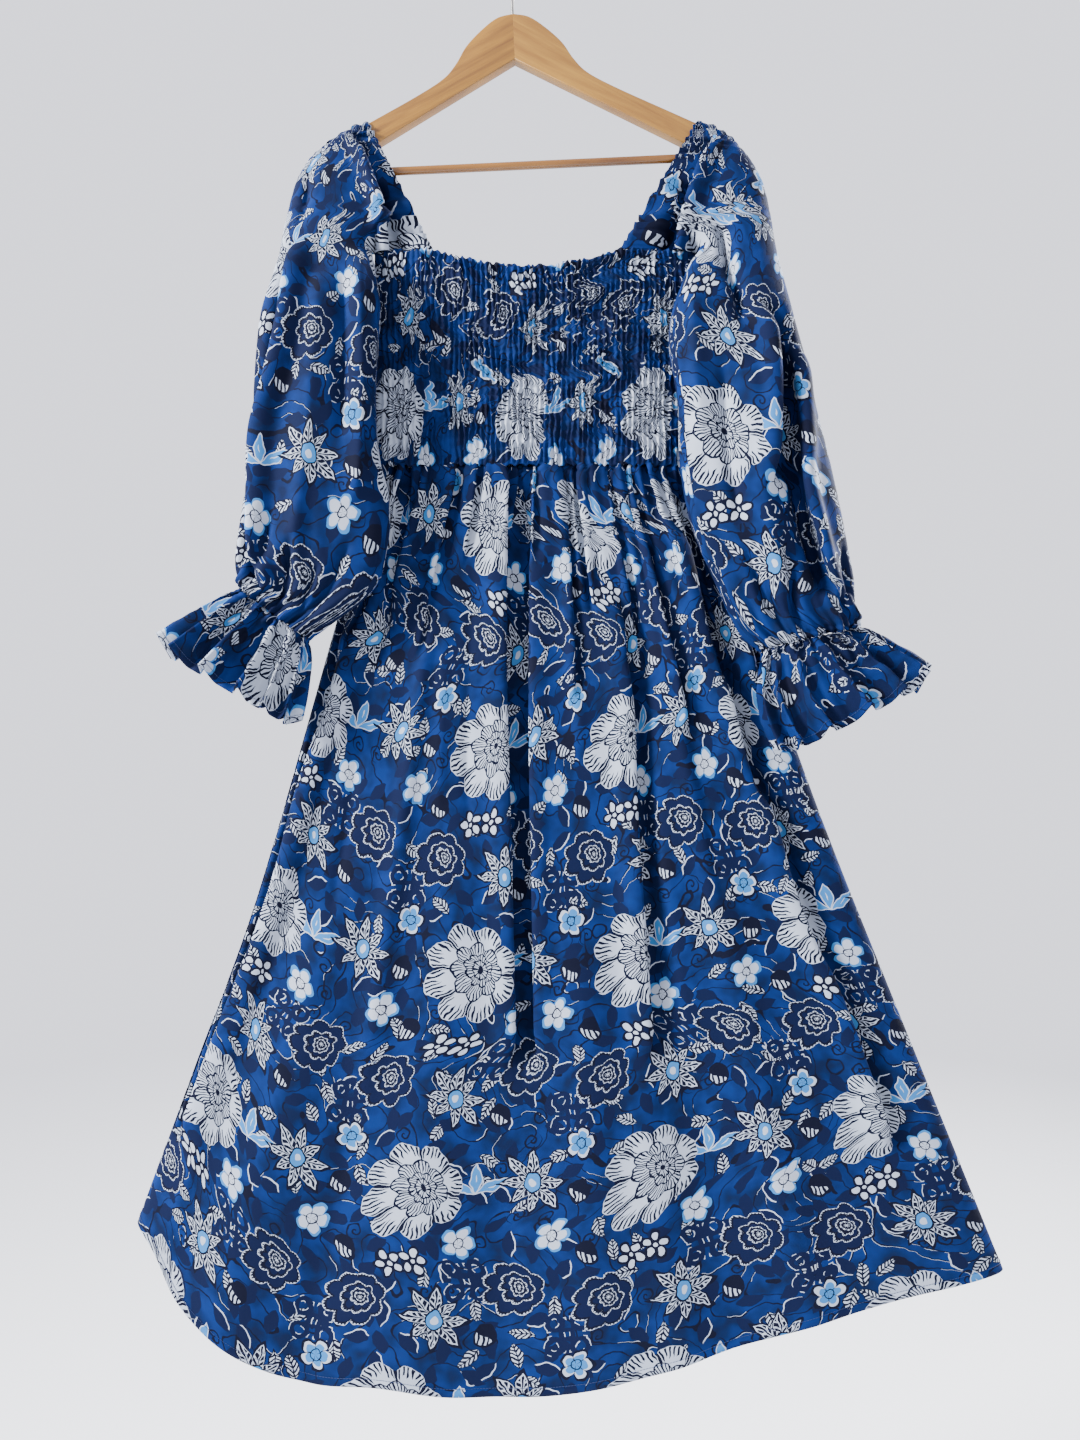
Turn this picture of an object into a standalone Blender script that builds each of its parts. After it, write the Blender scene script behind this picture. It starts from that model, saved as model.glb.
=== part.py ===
"""A maxi dress with a square shirred neckline, full elbow sleeves that end in
flounces, and a gathered skirt. It hangs on a wooden coat hanger with a bar.

Tables are in millimetres, meshes in metres. +Z is up and the front faces -Y.
Left and right are as seen from the front. The origin is the inside of the
hook's crown, where a rail carries the hanger.
"""
import bpy
import bmesh
from math import copysign, cos, exp, hypot, pi, radians, sin
from mathutils import Vector

MM = 0.001

# Cloth
CLOTH = 1.2
SEAM_GAP = 0.3
EDGE = SEAM_GAP / 2
BODY_Y = 6.0

# Bodice
SIDE_X = (-136.0, 186.0)
CORNER_X = (-76.3, 109.4)
TOP_Z = -297.0
WAIST_Z = -512.0
NECK_DIP = 16.5
BACK_NECK_DIP = 9.0
BODICE_FRONT_DEPTH = 14.0
BODICE_BACK_DEPTH = 12.0
FRONT_PUCKERS = (60, 9)
BACK_PUCKERS = (44, 7)
PUCKER = 1.4
STITCHED_PUCKER = 0.5

# Skirt: outline of the hung panel, and how far it stands off the middle
LEFT_SIDE = ((-136, -512), (-156, -600), (-180, -686), (-255, -945), (-316, -1111), (-373, -1266))
RIGHT_SIDE = ((186, -512), (215, -600), (248, -686), (317, -875), (386, -1048), (494, -1314))
HEM = ((-373, -1266), (-352, -1292), (-324, -1342), (-267, -1389), (-197, -1415), (-124, -1417),
       (-50, -1428), (52, -1424), (158, -1400), (277, -1365), (380, -1336), (494, -1314))
SKIRT_ROWS = (0.0, 0.012, 0.06, 0.14, 0.26, 0.40, 0.56, 0.72, 0.87, 1.0)
FRONT_HANG = ((0.0, 14.0), (0.1, 16.0), (0.3, 20.0), (0.6, 26.0), (1.0, 30.0))
BACK_HANG = ((0.0, 12.0), (0.3, 12.0), (1.0, 14.0))
GATHER_HEIGHT = ((0.0, 1.5), (0.03, 2.6), (0.12, 3.0), (0.3, 1.6), (0.5, 0.6), (0.7, 0.0), (1.0, 0.0))
FRONT_GATHERS = 22
BACK_GATHERS = 16
FOLD_RAMP = 0.15
SIDE_RAMP = 14

# Folds of the skirt, as fractions of its width and length.
# at the waist, at the hem, starts, ends, half width, height outward in mm
FRONT_FOLDS = (
    (0.050, 0.040, 0.12, 1.02, 0.018, 6.0),
    (0.140, 0.150, 0.45, 1.10, 0.045, 5.0),
    (0.235, 0.260, 0.02, 0.75, 0.020, 5.0),
    (0.340, 0.350, 0.40, 1.10, 0.050, 4.5),
    (0.435, 0.465, 0.02, 0.78, 0.022, -9.0),
    (0.550, 0.560, 0.45, 1.10, 0.040, 5.0),
    (0.668, 0.615, 0.12, 0.75, 0.018, 7.0),
    (0.700, 0.700, 0.45, 1.10, 0.040, -5.0),
    (0.780, 0.790, 0.06, 1.05, 0.025, 5.0),
    (0.870, 0.930, 0.10, 0.95, 0.018, 9.0),
    (0.905, 0.965, 0.10, 0.95, 0.016, -6.0),
)
BACK_FOLDS = (
    (0.090, 0.080, 0.15, 1.10, 0.025, 5.0),
    (0.240, 0.200, 0.05, 0.90, 0.022, 5.5),
    (0.330, 0.320, 0.30, 1.10, 0.040, -3.5),
    (0.460, 0.430, 0.02, 0.80, 0.022, 6.0),
    (0.580, 0.590, 0.40, 1.10, 0.045, 4.5),
    (0.700, 0.740, 0.10, 1.00, 0.024, 5.5),
    (0.880, 0.900, 0.15, 1.10, 0.028, 5.0),
)

# Sleeves above the armhole seam: sections open at the neck edge.
# height, outer edge, middle depth, half thickness
LEFT_SHOULDER = (
    (-170.8, -141, 0, 9), (-178, -158, 0, 10.5), (-187, -174, 0, 13), (-198, -190, 0, 16),
    (-211, -202, -1, 19), (-232, -213, -2, 22), (-262, -221, -3, 24),
)
RIGHT_SHOULDER = (
    (-170.2, 186, 0, 9), (-176, 203, 0, 10.5), (-185, 218, 0, 13), (-196, 230, 0, 16),
    (-210, 241, -1, 19), (-232, 252, -2, 22), (-262, 259, -3, 24),
)
# Sleeves from the armhole seam to the cuff: closed rings.
# outer edge x and z, inner edge x and z, middle depth, half thickness
LEFT_SLEEVE = (
    (-228, TOP_Z + EDGE, -138, TOP_Z + EDGE, -6, 23),
    (-233, -326, -132, -325, -17, 22),
    (-242, -365, -126, -363, -26, 23),
    (-247, -410, -128, -405, -28, 24),
    (-249, -460, -130, -455, -30, 24),
    (-250, -510, -126, -510, -31, 24),
    (-258, -553, -116, -553, -32, 23),
    (-263, -592, -119, -602, -33, 22),
    (-265, -622, -134, -641, -33, 18),
    (-261, -638, -198, -685, -33, 10),
)
RIGHT_SLEEVE = (
    (264, TOP_Z + EDGE, 188, TOP_Z + EDGE, -6, 23),
    (268, -326, 178, -325, -17, 22),
    (275, -363, 160, -363, -27, 23),
    (286, -405, 156, -403, -29, 24),
    (297, -458, 164, -455, -31, 24),
    (311, -515, 166, -515, -32, 24),
    (324, -575, 177, -575, -33, 23),
    (334, -632, 201, -632, -33, 21),
    (337, -660, 223, -676, -33, 17),
    (336, -675, 246, -697, -33, 11),
)
LEFT_NECK_TOP = (-141.0, -170.8)
RIGHT_NECK_TOP = (186.0, -170.2)
SHOULDER_COLUMNS = 32
SEAM_COLUMNS = 4
UNDERARM_COLUMNS = 4
SLEEVE_FOLDS = 6
SLEEVE_FOLD_HEIGHT = 3.2
NECK_HALF_DEPTH = 9.0
ROUNDING = 2.3
ROUNDED_PART = 0.35

# Flounces, with the columns of the sleeve rings
LEFT_FLOUNCE = (
    (-261, -638, -198, -685, -33, 10),
    (-281, -650, -196, -703, -32, 13),
    (-300, -663, -198, -723, -32, 17),
    (-318, -677, -202, -745, -31, 20),
    (-336, -692, -208, -767, -31, 22),
)
RIGHT_FLOUNCE = (
    (336, -675, 246, -697, -33, 11),
    (353, -683, 246, -720, -33, 14),
    (371, -696, 248, -746, -32, 17),
    (389, -709, 255, -771, -32, 20),
    (406, -723, 267, -795, -31, 22),
)
FLOUNCE_WAVES = 9
FLOUNCE_COLUMNS = 36
FLOUNCE_WAVE = 5.5
FLOUNCE_LIFT = 2.5

# Hanger
HANGER_ROLL = radians(2.6)
WOOD = 13.0
WOOD_CHAMFER = 1.2
WOOD_TOP = -62.6
NOTCH = (0.15, -107.9)
ARM_TOP = ((0.15, WOOD_TOP), (16, -66), (31, -76.5), (47.5, -92.5), (58.5, -109.5), (72, -124),
           (100, -140.5), (150, -165.7), (188, -184.8))
ARM_TIP = ((196, -190), (200, -198), (199.5, -212), (194, -214.8))
BAR_Z = -211.0
BAR_RADIUS = 4.0
BAR_REACH = 196.0
BORE_CLEARANCE = 0.3
WIRE = 1.5
HOOK_RADIUS = 17.0
HOOK_STEM_END = -84.0


def new_material(name, colour, roughness, metallic=0.0):
    material = bpy.data.materials.new(name)
    material.use_nodes = True
    shader = material.node_tree.nodes["Principled BSDF"]
    shader.inputs["Base Color"].default_value = (*colour, 1.0)
    shader.inputs["Roughness"].default_value = roughness
    shader.inputs["Metallic"].default_value = metallic
    return material


def lerp(a, b, t):
    return a + (b - a) * t


def read_table(table, value):
    """Straight-line reading of a two-column table."""
    for (x0, y0), (x1, y1) in zip(table, table[1:]):
        if value <= x1:
            return lerp(y0, y1, (value - x0) / (x1 - x0))
    return table[-1][1]


def evenly_spaced(points, count):
    """count + 1 points at equal steps along a chain of points."""
    lengths = [0.0]
    for a, b in zip(points, points[1:]):
        lengths.append(lengths[-1] + hypot(b[0] - a[0], b[1] - a[1]))
    result = []
    k = 0
    for j in range(count + 1):
        target = lengths[-1] * j / count
        while k < len(points) - 2 and lengths[k + 1] < target:
            k += 1
        span = lengths[k + 1] - lengths[k]
        t = (target - lengths[k]) / span if span else 0.0
        result.append(tuple(lerp(a, b, t) for a, b in zip(points[k], points[k + 1])))
    return result


def smooth_chain(points, steps=12):
    """A smooth curve through the given points, as a fine chain."""
    padded = [points[0], *points, points[-1]]
    chain = []
    for p0, p1, p2, p3 in zip(padded, padded[1:], padded[2:], padded[3:]):
        for k in range(steps):
            t = k / steps
            point = []
            for a, b, c, d in zip(p0, p1, p2, p3):
                square = 2 * a - 5 * b + 4 * c - d
                cube = 3 * b - a - 3 * c + d
                point.append(b + 0.5 * ((c - a) * t + square * t ** 2 + cube * t ** 3))
            chain.append(tuple(point))
    chain.append(tuple(points[-1]))
    return chain


def plane_normals(points, closed=False, first=None, last=None):
    """Outward normals of an anticlockwise flat section."""
    count = len(points)
    normals = []
    for k in range(count):
        before = points[k - 1] if k or closed else points[0]
        after = points[(k + 1) % count] if k < count - 1 or closed else points[-1]
        dx, dy = after[0] - before[0], after[1] - before[1]
        size = hypot(dx, dy)
        normals.append((dy / size, -dx / size))
    if first:
        normals[0] = first
    if last:
        normals[-1] = last
    return normals


def finish_object(name, mesh, material, collection, sharp=50):
    mesh.shade_smooth()
    mesh.set_sharp_from_angle(angle=radians(sharp))
    mesh.materials.append(material)
    piece = bpy.data.objects.new(name, mesh)
    collection.objects.link(piece)
    return piece


def cloth_wall(name, middle, outward, faces, material, collection, relief=None):
    """A closed wall of cloth about its middle points, with its free edges closed."""
    count = len(middle)
    relief = relief or [0.0] * count
    bm = bmesh.new()
    outer = [bm.verts.new((p + n * (CLOTH / 2 + r)) * MM) for p, n, r in zip(middle, outward, relief)]
    inner = [bm.verts.new((p - n * CLOTH / 2) * MM) for p, n in zip(middle, outward)]
    directed = set()
    for face in faces:
        bm.faces.new([outer[k] for k in face])
        bm.faces.new([inner[k] for k in reversed(face)])
        directed.update(zip(face, face[1:] + face[:1]))
    for a, b in sorted(directed):
        if (b, a) not in directed:
            bm.faces.new((outer[b], outer[a], inner[a], inner[b]))
    bmesh.ops.recalc_face_normals(bm, faces=bm.faces)
    mesh = bpy.data.meshes.new(name)
    bm.to_mesh(mesh)
    bm.free()
    return finish_object(name, mesh, material, collection)


def grid_faces(rows, columns, closed=False, start=0):
    """Quads of a grid of points. A closed grid joins its last column to its first."""
    faces = []
    for r in range(rows - 1):
        for c in range(columns if closed else columns - 1):
            a = start + r * columns + c
            b = start + r * columns + (c + 1) % columns
            faces.append((a, a + columns, b + columns, b))
    return faces


def crown(f):
    """Half section of a flat hollow body: 0 at both side seams, 1 over most of its width."""
    return (1 - abs(2 * f - 1) ** 3) ** (1 / 3)


def body_y(x, front):
    """Depth of the bodice's wall above a place across its width."""
    f = (x - SIDE_X[0]) / (SIDE_X[1] - SIDE_X[0])
    if front:
        return BODY_Y - BODICE_FRONT_DEPTH * crown(f)
    return BODY_Y + BODICE_BACK_DEPTH * crown(f)


def panel_wall(name, rows, front, material, collection, relief=None):
    """A front or back panel from rows of (x, y, z) that run from its left to its right side."""
    middle, outward = [], []
    for row in rows:
        section = row if front else row[::-1]
        ends = ((-1, 0), (1, 0)) if front else ((1, 0), (-1, 0))
        normals = plane_normals([(x, y) for x, y, z in section], first=ends[0], last=ends[1])
        middle += [Vector(p) for p in section]
        outward += [Vector((nx, ny, 0)) for nx, ny in normals]
    faces = grid_faces(len(rows), len(rows[0]))
    return cloth_wall(name, middle, outward, faces, material, collection, relief)


def bodice_panel(name, front, puckers, dip, material, collection):
    """A shirred panel: puckers stand out between the rows of elastic, over a plain inside."""
    columns, row_count = puckers
    rows, relief = [], []
    neck_middle = (CORNER_X[0] + CORNER_X[1]) / 2
    neck_half = (CORNER_X[1] - CORNER_X[0]) / 2
    side_gap = -EDGE if front else EDGE
    for r in range(row_count + 1):
        v = r / row_count
        row = []
        for c in range(columns + 1):
            f = c / columns
            x = lerp(*SIDE_X, f)
            drop = max(0.0, 1 - ((x - neck_middle) / neck_half) ** 2)
            z = lerp(TOP_Z - EDGE - dip * drop, WAIST_Z + EDGE, v)
            row.append((x, body_y(x, front) + side_gap, z))
            stitched = r in (0, row_count) or c < 2 or c > columns - 2
            height = PUCKER if r % 2 else STITCHED_PUCKER
            relief.append(0.0 if stitched or c % 2 else height)
        rows.append(row)
    return panel_wall(name, rows, front, material, collection, relief)


def fold_height(folds, f, v):
    """Outward shift of the skirt from its long folds."""
    total = 0.0
    for waist, hem, start, end, half_width, height in folds:
        rise = min(1.0, max(0.0, (v - start) / FOLD_RAMP))
        fall = min(1.0, max(0.0, (end - v) / FOLD_RAMP))
        total += height * rise * fall * exp(-((f - lerp(waist, hem, v)) / half_width) ** 2)
    return total


def skirt_panel(name, front, gathers, row_fractions, material, collection):
    """A gathered panel that fans from the waist seam to the hem."""
    columns = gathers * 4
    steps = 200
    hem = evenly_spaced(smooth_chain(HEM), columns)
    left_line = evenly_spaced(smooth_chain(LEFT_SIDE), steps)
    right_line = evenly_spaced(smooth_chain(RIGHT_SIDE), steps)
    hang = FRONT_HANG if front else BACK_HANG
    folds = FRONT_FOLDS if front else BACK_FOLDS
    sign = -1 if front else 1
    rows = []
    for v in row_fractions:
        left_x, left_z = left_line[round(v * steps)]
        right_x, right_z = right_line[round(v * steps)]
        row = []
        for c in range(columns + 1):
            f = c / columns
            waist_x = lerp(*SIDE_X, f)
            straight_x = lerp(waist_x, lerp(hem[0][0], hem[-1][0], f), v)
            straight_z = lerp(WAIST_Z, lerp(hem[0][1], hem[-1][1], f), v)
            x = lerp(waist_x, hem[c][0], v) + lerp(left_x, right_x, f) - straight_x
            z = lerp(WAIST_Z, hem[c][1], v) + lerp(left_z, right_z, f) - straight_z
            off_side = min(1.0, SIDE_RAMP * f, SIDE_RAMP * (1 - f))
            gather = read_table(GATHER_HEIGHT, v) * cos(2 * pi * gathers * f)
            out = read_table(hang, v) * crown(f) + off_side * (gather + fold_height(folds, f, v))
            row.append((x, BODY_Y + sign * (EDGE + out), z - EDGE))
        rows.append(row)
    return panel_wall(name, rows, front, material, collection)


def ring(row, columns, start_angle=0.0, drop=0.0, push=None):
    """A closed section between an outer and an inner edge, with its normals in its own plane.

    push gives the outward shift of a fold for a column, and drop moves the
    section along the tube.
    """
    outer_x, outer_z, inner_x, inner_z, middle_y, half = row
    low, high = sorted(((outer_x, outer_z), (inner_x, inner_z)))
    width = hypot(high[0] - low[0], high[1] - low[1])
    along = Vector(((high[0] - low[0]) / width, 0, (high[1] - low[1]) / width))
    down = Vector((along.z, 0, -along.x))
    centre = Vector(((low[0] + high[0]) / 2, middle_y, (low[1] + high[1]) / 2)) + down * drop
    flat = []
    for k in range(columns):
        angle = start_angle + 2 * pi * k / columns
        c = copysign(abs(cos(angle)) ** (2 / ROUNDING), cos(angle))
        s = copysign(abs(sin(angle)) ** (2 / ROUNDING), sin(angle))
        flat.append((width / 2 * c, half * s))
    normals = plane_normals(flat, closed=True)
    points, outward = [], []
    for k, ((s, y), (ns, ny)) in enumerate(zip(flat, normals)):
        normal = along * ns + Vector((0, ny, 0))
        point = centre + along * s + Vector((0, y, 0))
        points.append(point + normal * (push(k) if push else 0.0))
        outward.append(normal)
    return points, outward


def shoulder_section(row, neck_top, corner_x):
    """A section of the upper sleeve, from one neck edge round the outside to the other."""
    z, outer_x, middle_y, half = row
    down = (z - neck_top[1]) / (TOP_Z - neck_top[1])
    neck_x = lerp(neck_top[0], corner_x, down)
    neck_front = lerp(-NECK_HALF_DEPTH, body_y(corner_x, True), down)
    neck_back = lerp(NECK_HALF_DEPTH, body_y(corner_x, False), down)
    neck_y = (neck_front + neck_back) / 2
    neck_half = (neck_back - neck_front) / 2
    steps = 60
    front, back = [], []
    for k in range(steps + 1):
        t = 1 - k / steps
        if t < ROUNDED_PART:
            thick = half * (1 - (1 - t / ROUNDED_PART) ** ROUNDING) ** (1 / ROUNDING)
        else:
            narrowing = sin(pi / 2 * (t - ROUNDED_PART) / (1 - ROUNDED_PART)) ** 2
            thick = lerp(half, neck_half, narrowing)
        x = lerp(outer_x, neck_x, t)
        y = lerp(middle_y, neck_y, t)
        front.append((x, y - thick))
        back.append((x, y + thick))
    chain = back + front[-2::-1] if outer_x < 0 else front + back[-2::-1]
    return evenly_spaced(chain, SHOULDER_COLUMNS)


def sleeve(name, shoulder, rings, neck_top, side, material, collection):
    """One full sleeve: its top is sewn to the bodice's corner and runs up as the neck edge,
    its lower part is a closed tube that the cuff's elastic draws in."""
    left = side == 0
    corner_x, side_x = CORNER_X[side], SIDE_X[side]
    tube = SHOULDER_COLUMNS - 2 * SEAM_COLUMNS + UNDERARM_COLUMNS
    half_underarm = 2 * pi / tube * UNDERARM_COLUMNS / 2
    start_angle = half_underarm + (0 if left else pi)
    main = SHOULDER_COLUMNS - 2 * SEAM_COLUMNS + 1

    def fold(k, size):
        if k >= main:
            return 0.0
        t = k / (main - 1)
        wander = 0.5 * sin(2 * pi * t + 1.0)
        return size * sin(pi * t) ** 0.5 * cos(2 * pi * SLEEVE_FOLDS * t + wander)

    middle, outward = [], []
    for number, row in enumerate(shoulder):
        section = shoulder_section(row, neck_top, corner_x)
        normals = plane_normals(section)
        size = SLEEVE_FOLD_HEIGHT * max(0, number - 2) / len(shoulder)
        for k, ((x, y), (nx, ny)) in enumerate(zip(section, normals)):
            push = fold(k - SEAM_COLUMNS, size) if 0 <= k - SEAM_COLUMNS < main else 0.0
            middle.append(Vector((x + nx * push, y + ny * push, row[0])))
            outward.append(Vector((nx, ny, 0)))

    seam_ring, seam_out = ring(rings[0], tube, start_angle)
    seam_z = rings[0][1]
    seam_x = [lerp(corner_x, side_x, k / (SEAM_COLUMNS - 0.7)) for k in range(SEAM_COLUMNS)]
    first = [(x, body_y(x, not left)) for x in seam_x]
    last = [(x, body_y(x, left)) for x in reversed(seam_x)]
    flat = first + [(p.x, p.y) for p in seam_ring[:main]] + last
    for (x, y), (nx, ny) in zip(flat, plane_normals(flat)):
        middle.append(Vector((x, y, seam_z)))
        outward.append(Vector((nx, ny, 0)))
    upper_rows = len(shoulder) + 1
    width = SHOULDER_COLUMNS + 1
    faces = grid_faces(upper_rows, width)

    above = [(upper_rows - 1) * width + SEAM_COLUMNS + k for k in range(main)]
    above += [len(middle) + k for k in range(tube - main)]
    middle += seam_ring[main:]
    outward += seam_out[main:]
    for number, row in enumerate(rings[1:], 1):
        near_cuff = (len(rings) - 1 - number) / (len(rings) - 1)
        size = SLEEVE_FOLD_HEIGHT * min(1.0, 0.25 + 2.2 * near_cuff)
        points, normals = ring(row, tube, start_angle, push=lambda k: fold(k, size))
        below = [len(middle) + k for k in range(tube)]
        middle += points
        outward += normals
        for k in range(tube):
            n = (k + 1) % tube
            faces.append((above[k], below[k], below[n], above[n]))
        above = below
    return cloth_wall(name, middle, outward, faces, material, collection)


def flounce(name, rows, material, collection):
    """A flared ring that is gathered into the cuff and waves at its free edge."""
    middle, outward = [], []
    for number, row in enumerate(rows):
        v = number / (len(rows) - 1)
        size = FLOUNCE_WAVE * (0.12 + 0.88 * v)
        wave = [cos(2 * pi * FLOUNCE_WAVES * k / FLOUNCE_COLUMNS) for k in range(FLOUNCE_COLUMNS)]
        drop = 0.0 if number else SEAM_GAP
        points, normals = ring(row, FLOUNCE_COLUMNS, drop=drop, push=lambda k: size * wave[k])
        lift = FLOUNCE_LIFT * v * v
        middle += [p + Vector((0, 0, lift * w)) for p, w in zip(points, wave)]
        outward += normals
    faces = grid_faces(len(rows), FLOUNCE_COLUMNS, closed=True)
    return cloth_wall(name, middle, outward, faces, material, collection)


def mesh_from(source, name):
    """The evaluated mesh of a curve, welded."""
    depsgraph = bpy.context.evaluated_depsgraph_get()
    mesh = bpy.data.meshes.new_from_object(source.evaluated_get(depsgraph))
    mesh.name = name
    bm = bmesh.new()
    bm.from_mesh(mesh)
    bmesh.ops.remove_doubles(bm, verts=bm.verts, dist=0.00001)
    bmesh.ops.recalc_face_normals(bm, faces=bm.faces)
    bm.to_mesh(mesh)
    bm.free()
    bpy.data.objects.remove(source)
    return mesh


def poly_curve(name, points, closed, dimensions, collection):
    curve = bpy.data.curves.new(name, "CURVE")
    curve.dimensions = dimensions
    spline = curve.splines.new("POLY")
    spline.points.add(len(points) - 1)
    for target, (x, z) in zip(spline.points, points):
        target.co = (x * MM, z * MM, 0, 1)
    spline.use_cyclic_u = closed
    holder = bpy.data.objects.new(name, curve)
    collection.objects.link(holder)
    return holder


def round_bar(name, radius, length, collection, sides=16):
    bm = bmesh.new()
    bmesh.ops.create_cone(bm, cap_ends=True, segments=sides, radius1=radius * MM, radius2=radius * MM,
                          depth=length * MM)
    mesh = bpy.data.meshes.new(name)
    bm.to_mesh(mesh)
    bm.free()
    bar = bpy.data.objects.new(name, mesh)
    collection.objects.link(bar)
    return bar


def hanger_arm(name, side, material, collection, cutters, frame):
    """Half of the wooden body, cut from flat stock with eased edges."""
    top = evenly_spaced(smooth_chain(ARM_TOP, 6), 18)
    outline = [(side * x, z) for x, z in (*top, *ARM_TIP, NOTCH)]
    holder = poly_curve(name, outline, True, "2D", collection)
    holder.data.fill_mode = "BOTH"
    holder.data.extrude = (WOOD / 2 - WOOD_CHAMFER) * MM
    holder.data.bevel_depth = WOOD_CHAMFER * MM
    holder.data.bevel_resolution = 0
    holder.data.offset = -WOOD_CHAMFER * MM
    arm = finish_object(name, mesh_from(holder, name), material, collection, sharp=30)
    arm.parent = frame
    arm.rotation_euler = (pi / 2, 0, 0)
    for cutter in cutters:
        cut = arm.modifiers.new(cutter.name, "BOOLEAN")
        cut.operation = "DIFFERENCE"
        cut.object = cutter
    return arm


def hook_points():
    """Crown of the hook from its tip over the top, then down into the stem."""
    radius = HOOK_RADIUS + WIRE
    turn = [radians(a) for a in range(205, -46, -25)]
    points = [(radius * cos(a), radius * sin(a) - HOOK_RADIUS) for a in turn]
    points += [(5.0, -37.5), (1.2, -43.5), (0.0, -52.0), (0.0, -68.0), (0.0, HOOK_STEM_END)]
    return evenly_spaced(smooth_chain(points, 8), 34)


def build_hanger(collection, cutter_collection, wood, steel):
    frame = bpy.data.objects.new("hanger_frame", None)
    frame.rotation_euler = (0, -HANGER_ROLL, 0)
    collection.objects.link(frame)

    bore_length = 2 * (BAR_REACH + BORE_CLEARANCE)
    bar_bore = round_bar("bar_bore", BAR_RADIUS + BORE_CLEARANCE, bore_length, cutter_collection)
    bar_bore.location = (0, 0, BAR_Z * MM)
    bar_bore.rotation_euler = (0, pi / 2, 0)
    stem_length = 60
    stem_bore = round_bar("stem_bore", WIRE + BORE_CLEARANCE, stem_length, cutter_collection, sides=12)
    stem_bore.location = (0, 0, (HOOK_STEM_END - BORE_CLEARANCE + stem_length / 2) * MM)
    for cutter in (bar_bore, stem_bore):
        cutter.parent = frame
        cutter.hide_render = True
        cutter.display_type = "WIRE"

    for name, side in (("hanger_arm_left", -1), ("hanger_arm_right", 1)):
        hanger_arm(name, side, wood, collection, (bar_bore, stem_bore), frame)

    bar = round_bar("hanger_bar", BAR_RADIUS, 2 * BAR_REACH, collection)
    bar.data.materials.append(wood)
    bar.location = (0, 0, BAR_Z * MM)
    bar.rotation_euler = (0, pi / 2, 0)
    bar.parent = frame

    holder = poly_curve("hanger_hook", hook_points(), False, "3D", collection)
    holder.data.bevel_depth = WIRE * MM
    holder.data.bevel_resolution = 2
    holder.data.use_fill_caps = True
    hook = finish_object("hanger_hook", mesh_from(holder, "hanger_hook"), steel, collection)
    hook.parent = frame
    hook.rotation_euler = (pi / 2, 0, 0)


def build():
    for old in list(bpy.data.objects):
        bpy.data.objects.remove(old, do_unlink=True)
    dress = bpy.data.collections.new("maxi_dress_on_hanger")
    cutters = bpy.data.collections.new("cutters")
    bpy.context.scene.collection.children.link(dress)
    bpy.context.scene.collection.children.link(cutters)
    cloth = new_material("cotton", (0.012, 0.085, 0.33), 0.8)
    wood = new_material("wood", (0.62, 0.39, 0.16), 0.45)
    steel = new_material("steel", (0.45, 0.44, 0.42), 0.35, 1.0)

    build_hanger(dress, cutters, wood, steel)
    bodice_panel("bodice_front", True, FRONT_PUCKERS, NECK_DIP, cloth, dress)
    bodice_panel("bodice_back", False, BACK_PUCKERS, BACK_NECK_DIP, cloth, dress)
    sleeve("sleeve_left", LEFT_SHOULDER, LEFT_SLEEVE, LEFT_NECK_TOP, 0, cloth, dress)
    sleeve("sleeve_right", RIGHT_SHOULDER, RIGHT_SLEEVE, RIGHT_NECK_TOP, 1, cloth, dress)
    flounce("flounce_left", LEFT_FLOUNCE, cloth, dress)
    flounce("flounce_right", RIGHT_FLOUNCE, cloth, dress)
    skirt_panel("skirt_front", True, FRONT_GATHERS, SKIRT_ROWS, cloth, dress)
    skirt_panel("skirt_back", False, BACK_GATHERS, SKIRT_ROWS[:1] + SKIRT_ROWS[2:], cloth, dress)


build()
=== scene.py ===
"""The looks of a printed cotton maxi dress that hangs on a flat wooden hanger.

Tables are in millimetres and meshes in metres. +Z is up, the front faces -Y, and left
and right are as seen from the front.
"""
from math import cos, pi, radians, sin

import bmesh
import bpy
import numpy as np
from mathutils import Matrix, Vector


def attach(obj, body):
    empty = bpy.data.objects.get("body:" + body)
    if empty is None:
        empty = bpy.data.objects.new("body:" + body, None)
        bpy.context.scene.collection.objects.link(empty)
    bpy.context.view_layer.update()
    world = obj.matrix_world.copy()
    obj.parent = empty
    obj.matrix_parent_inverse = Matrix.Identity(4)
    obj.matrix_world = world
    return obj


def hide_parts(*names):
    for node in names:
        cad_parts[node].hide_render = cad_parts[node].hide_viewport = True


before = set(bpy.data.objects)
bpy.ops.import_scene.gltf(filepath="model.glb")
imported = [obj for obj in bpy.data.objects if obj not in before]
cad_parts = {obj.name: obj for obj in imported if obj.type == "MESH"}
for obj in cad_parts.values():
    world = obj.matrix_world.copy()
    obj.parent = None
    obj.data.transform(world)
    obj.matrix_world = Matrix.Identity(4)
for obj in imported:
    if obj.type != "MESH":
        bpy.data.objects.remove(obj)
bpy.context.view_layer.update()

# Hanger arms
# Two halves of a flat pale hardwood body, sawn to shape, eased along every edge and
# lacquered. They meet in a glued joint at the centre, over a notch, so each reaches
# 1 mm past the joint and the eased edges close it.
MM = 0.001
HANGER_ROLL = radians(2.6)
WOOD = 13.0
WOOD_EASING = 1.2
WOOD_TOP = -62.6
NOTCH = (-1.0, -107.3)
ARM_TOP = ((-1.0, WOOD_TOP), (2, -62.7), (16, -66), (31, -76.5), (47.5, -92.5), (58.5, -109.5), (72, -124),
           (100, -140.5), (150, -165.7), (188, -184.8))
ARM_TIP = ((196, -190), (200, -198), (199.5, -212), (194, -214.8))
ARM_SLOPE = radians(28)
TOP_STEPS = 72
TIP_STEPS = 16
WOOD_FIGURE = (9.0, 70.0, 150.0)
WOOD_PORES = (60.0, 900.0, 1400.0)


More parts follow.
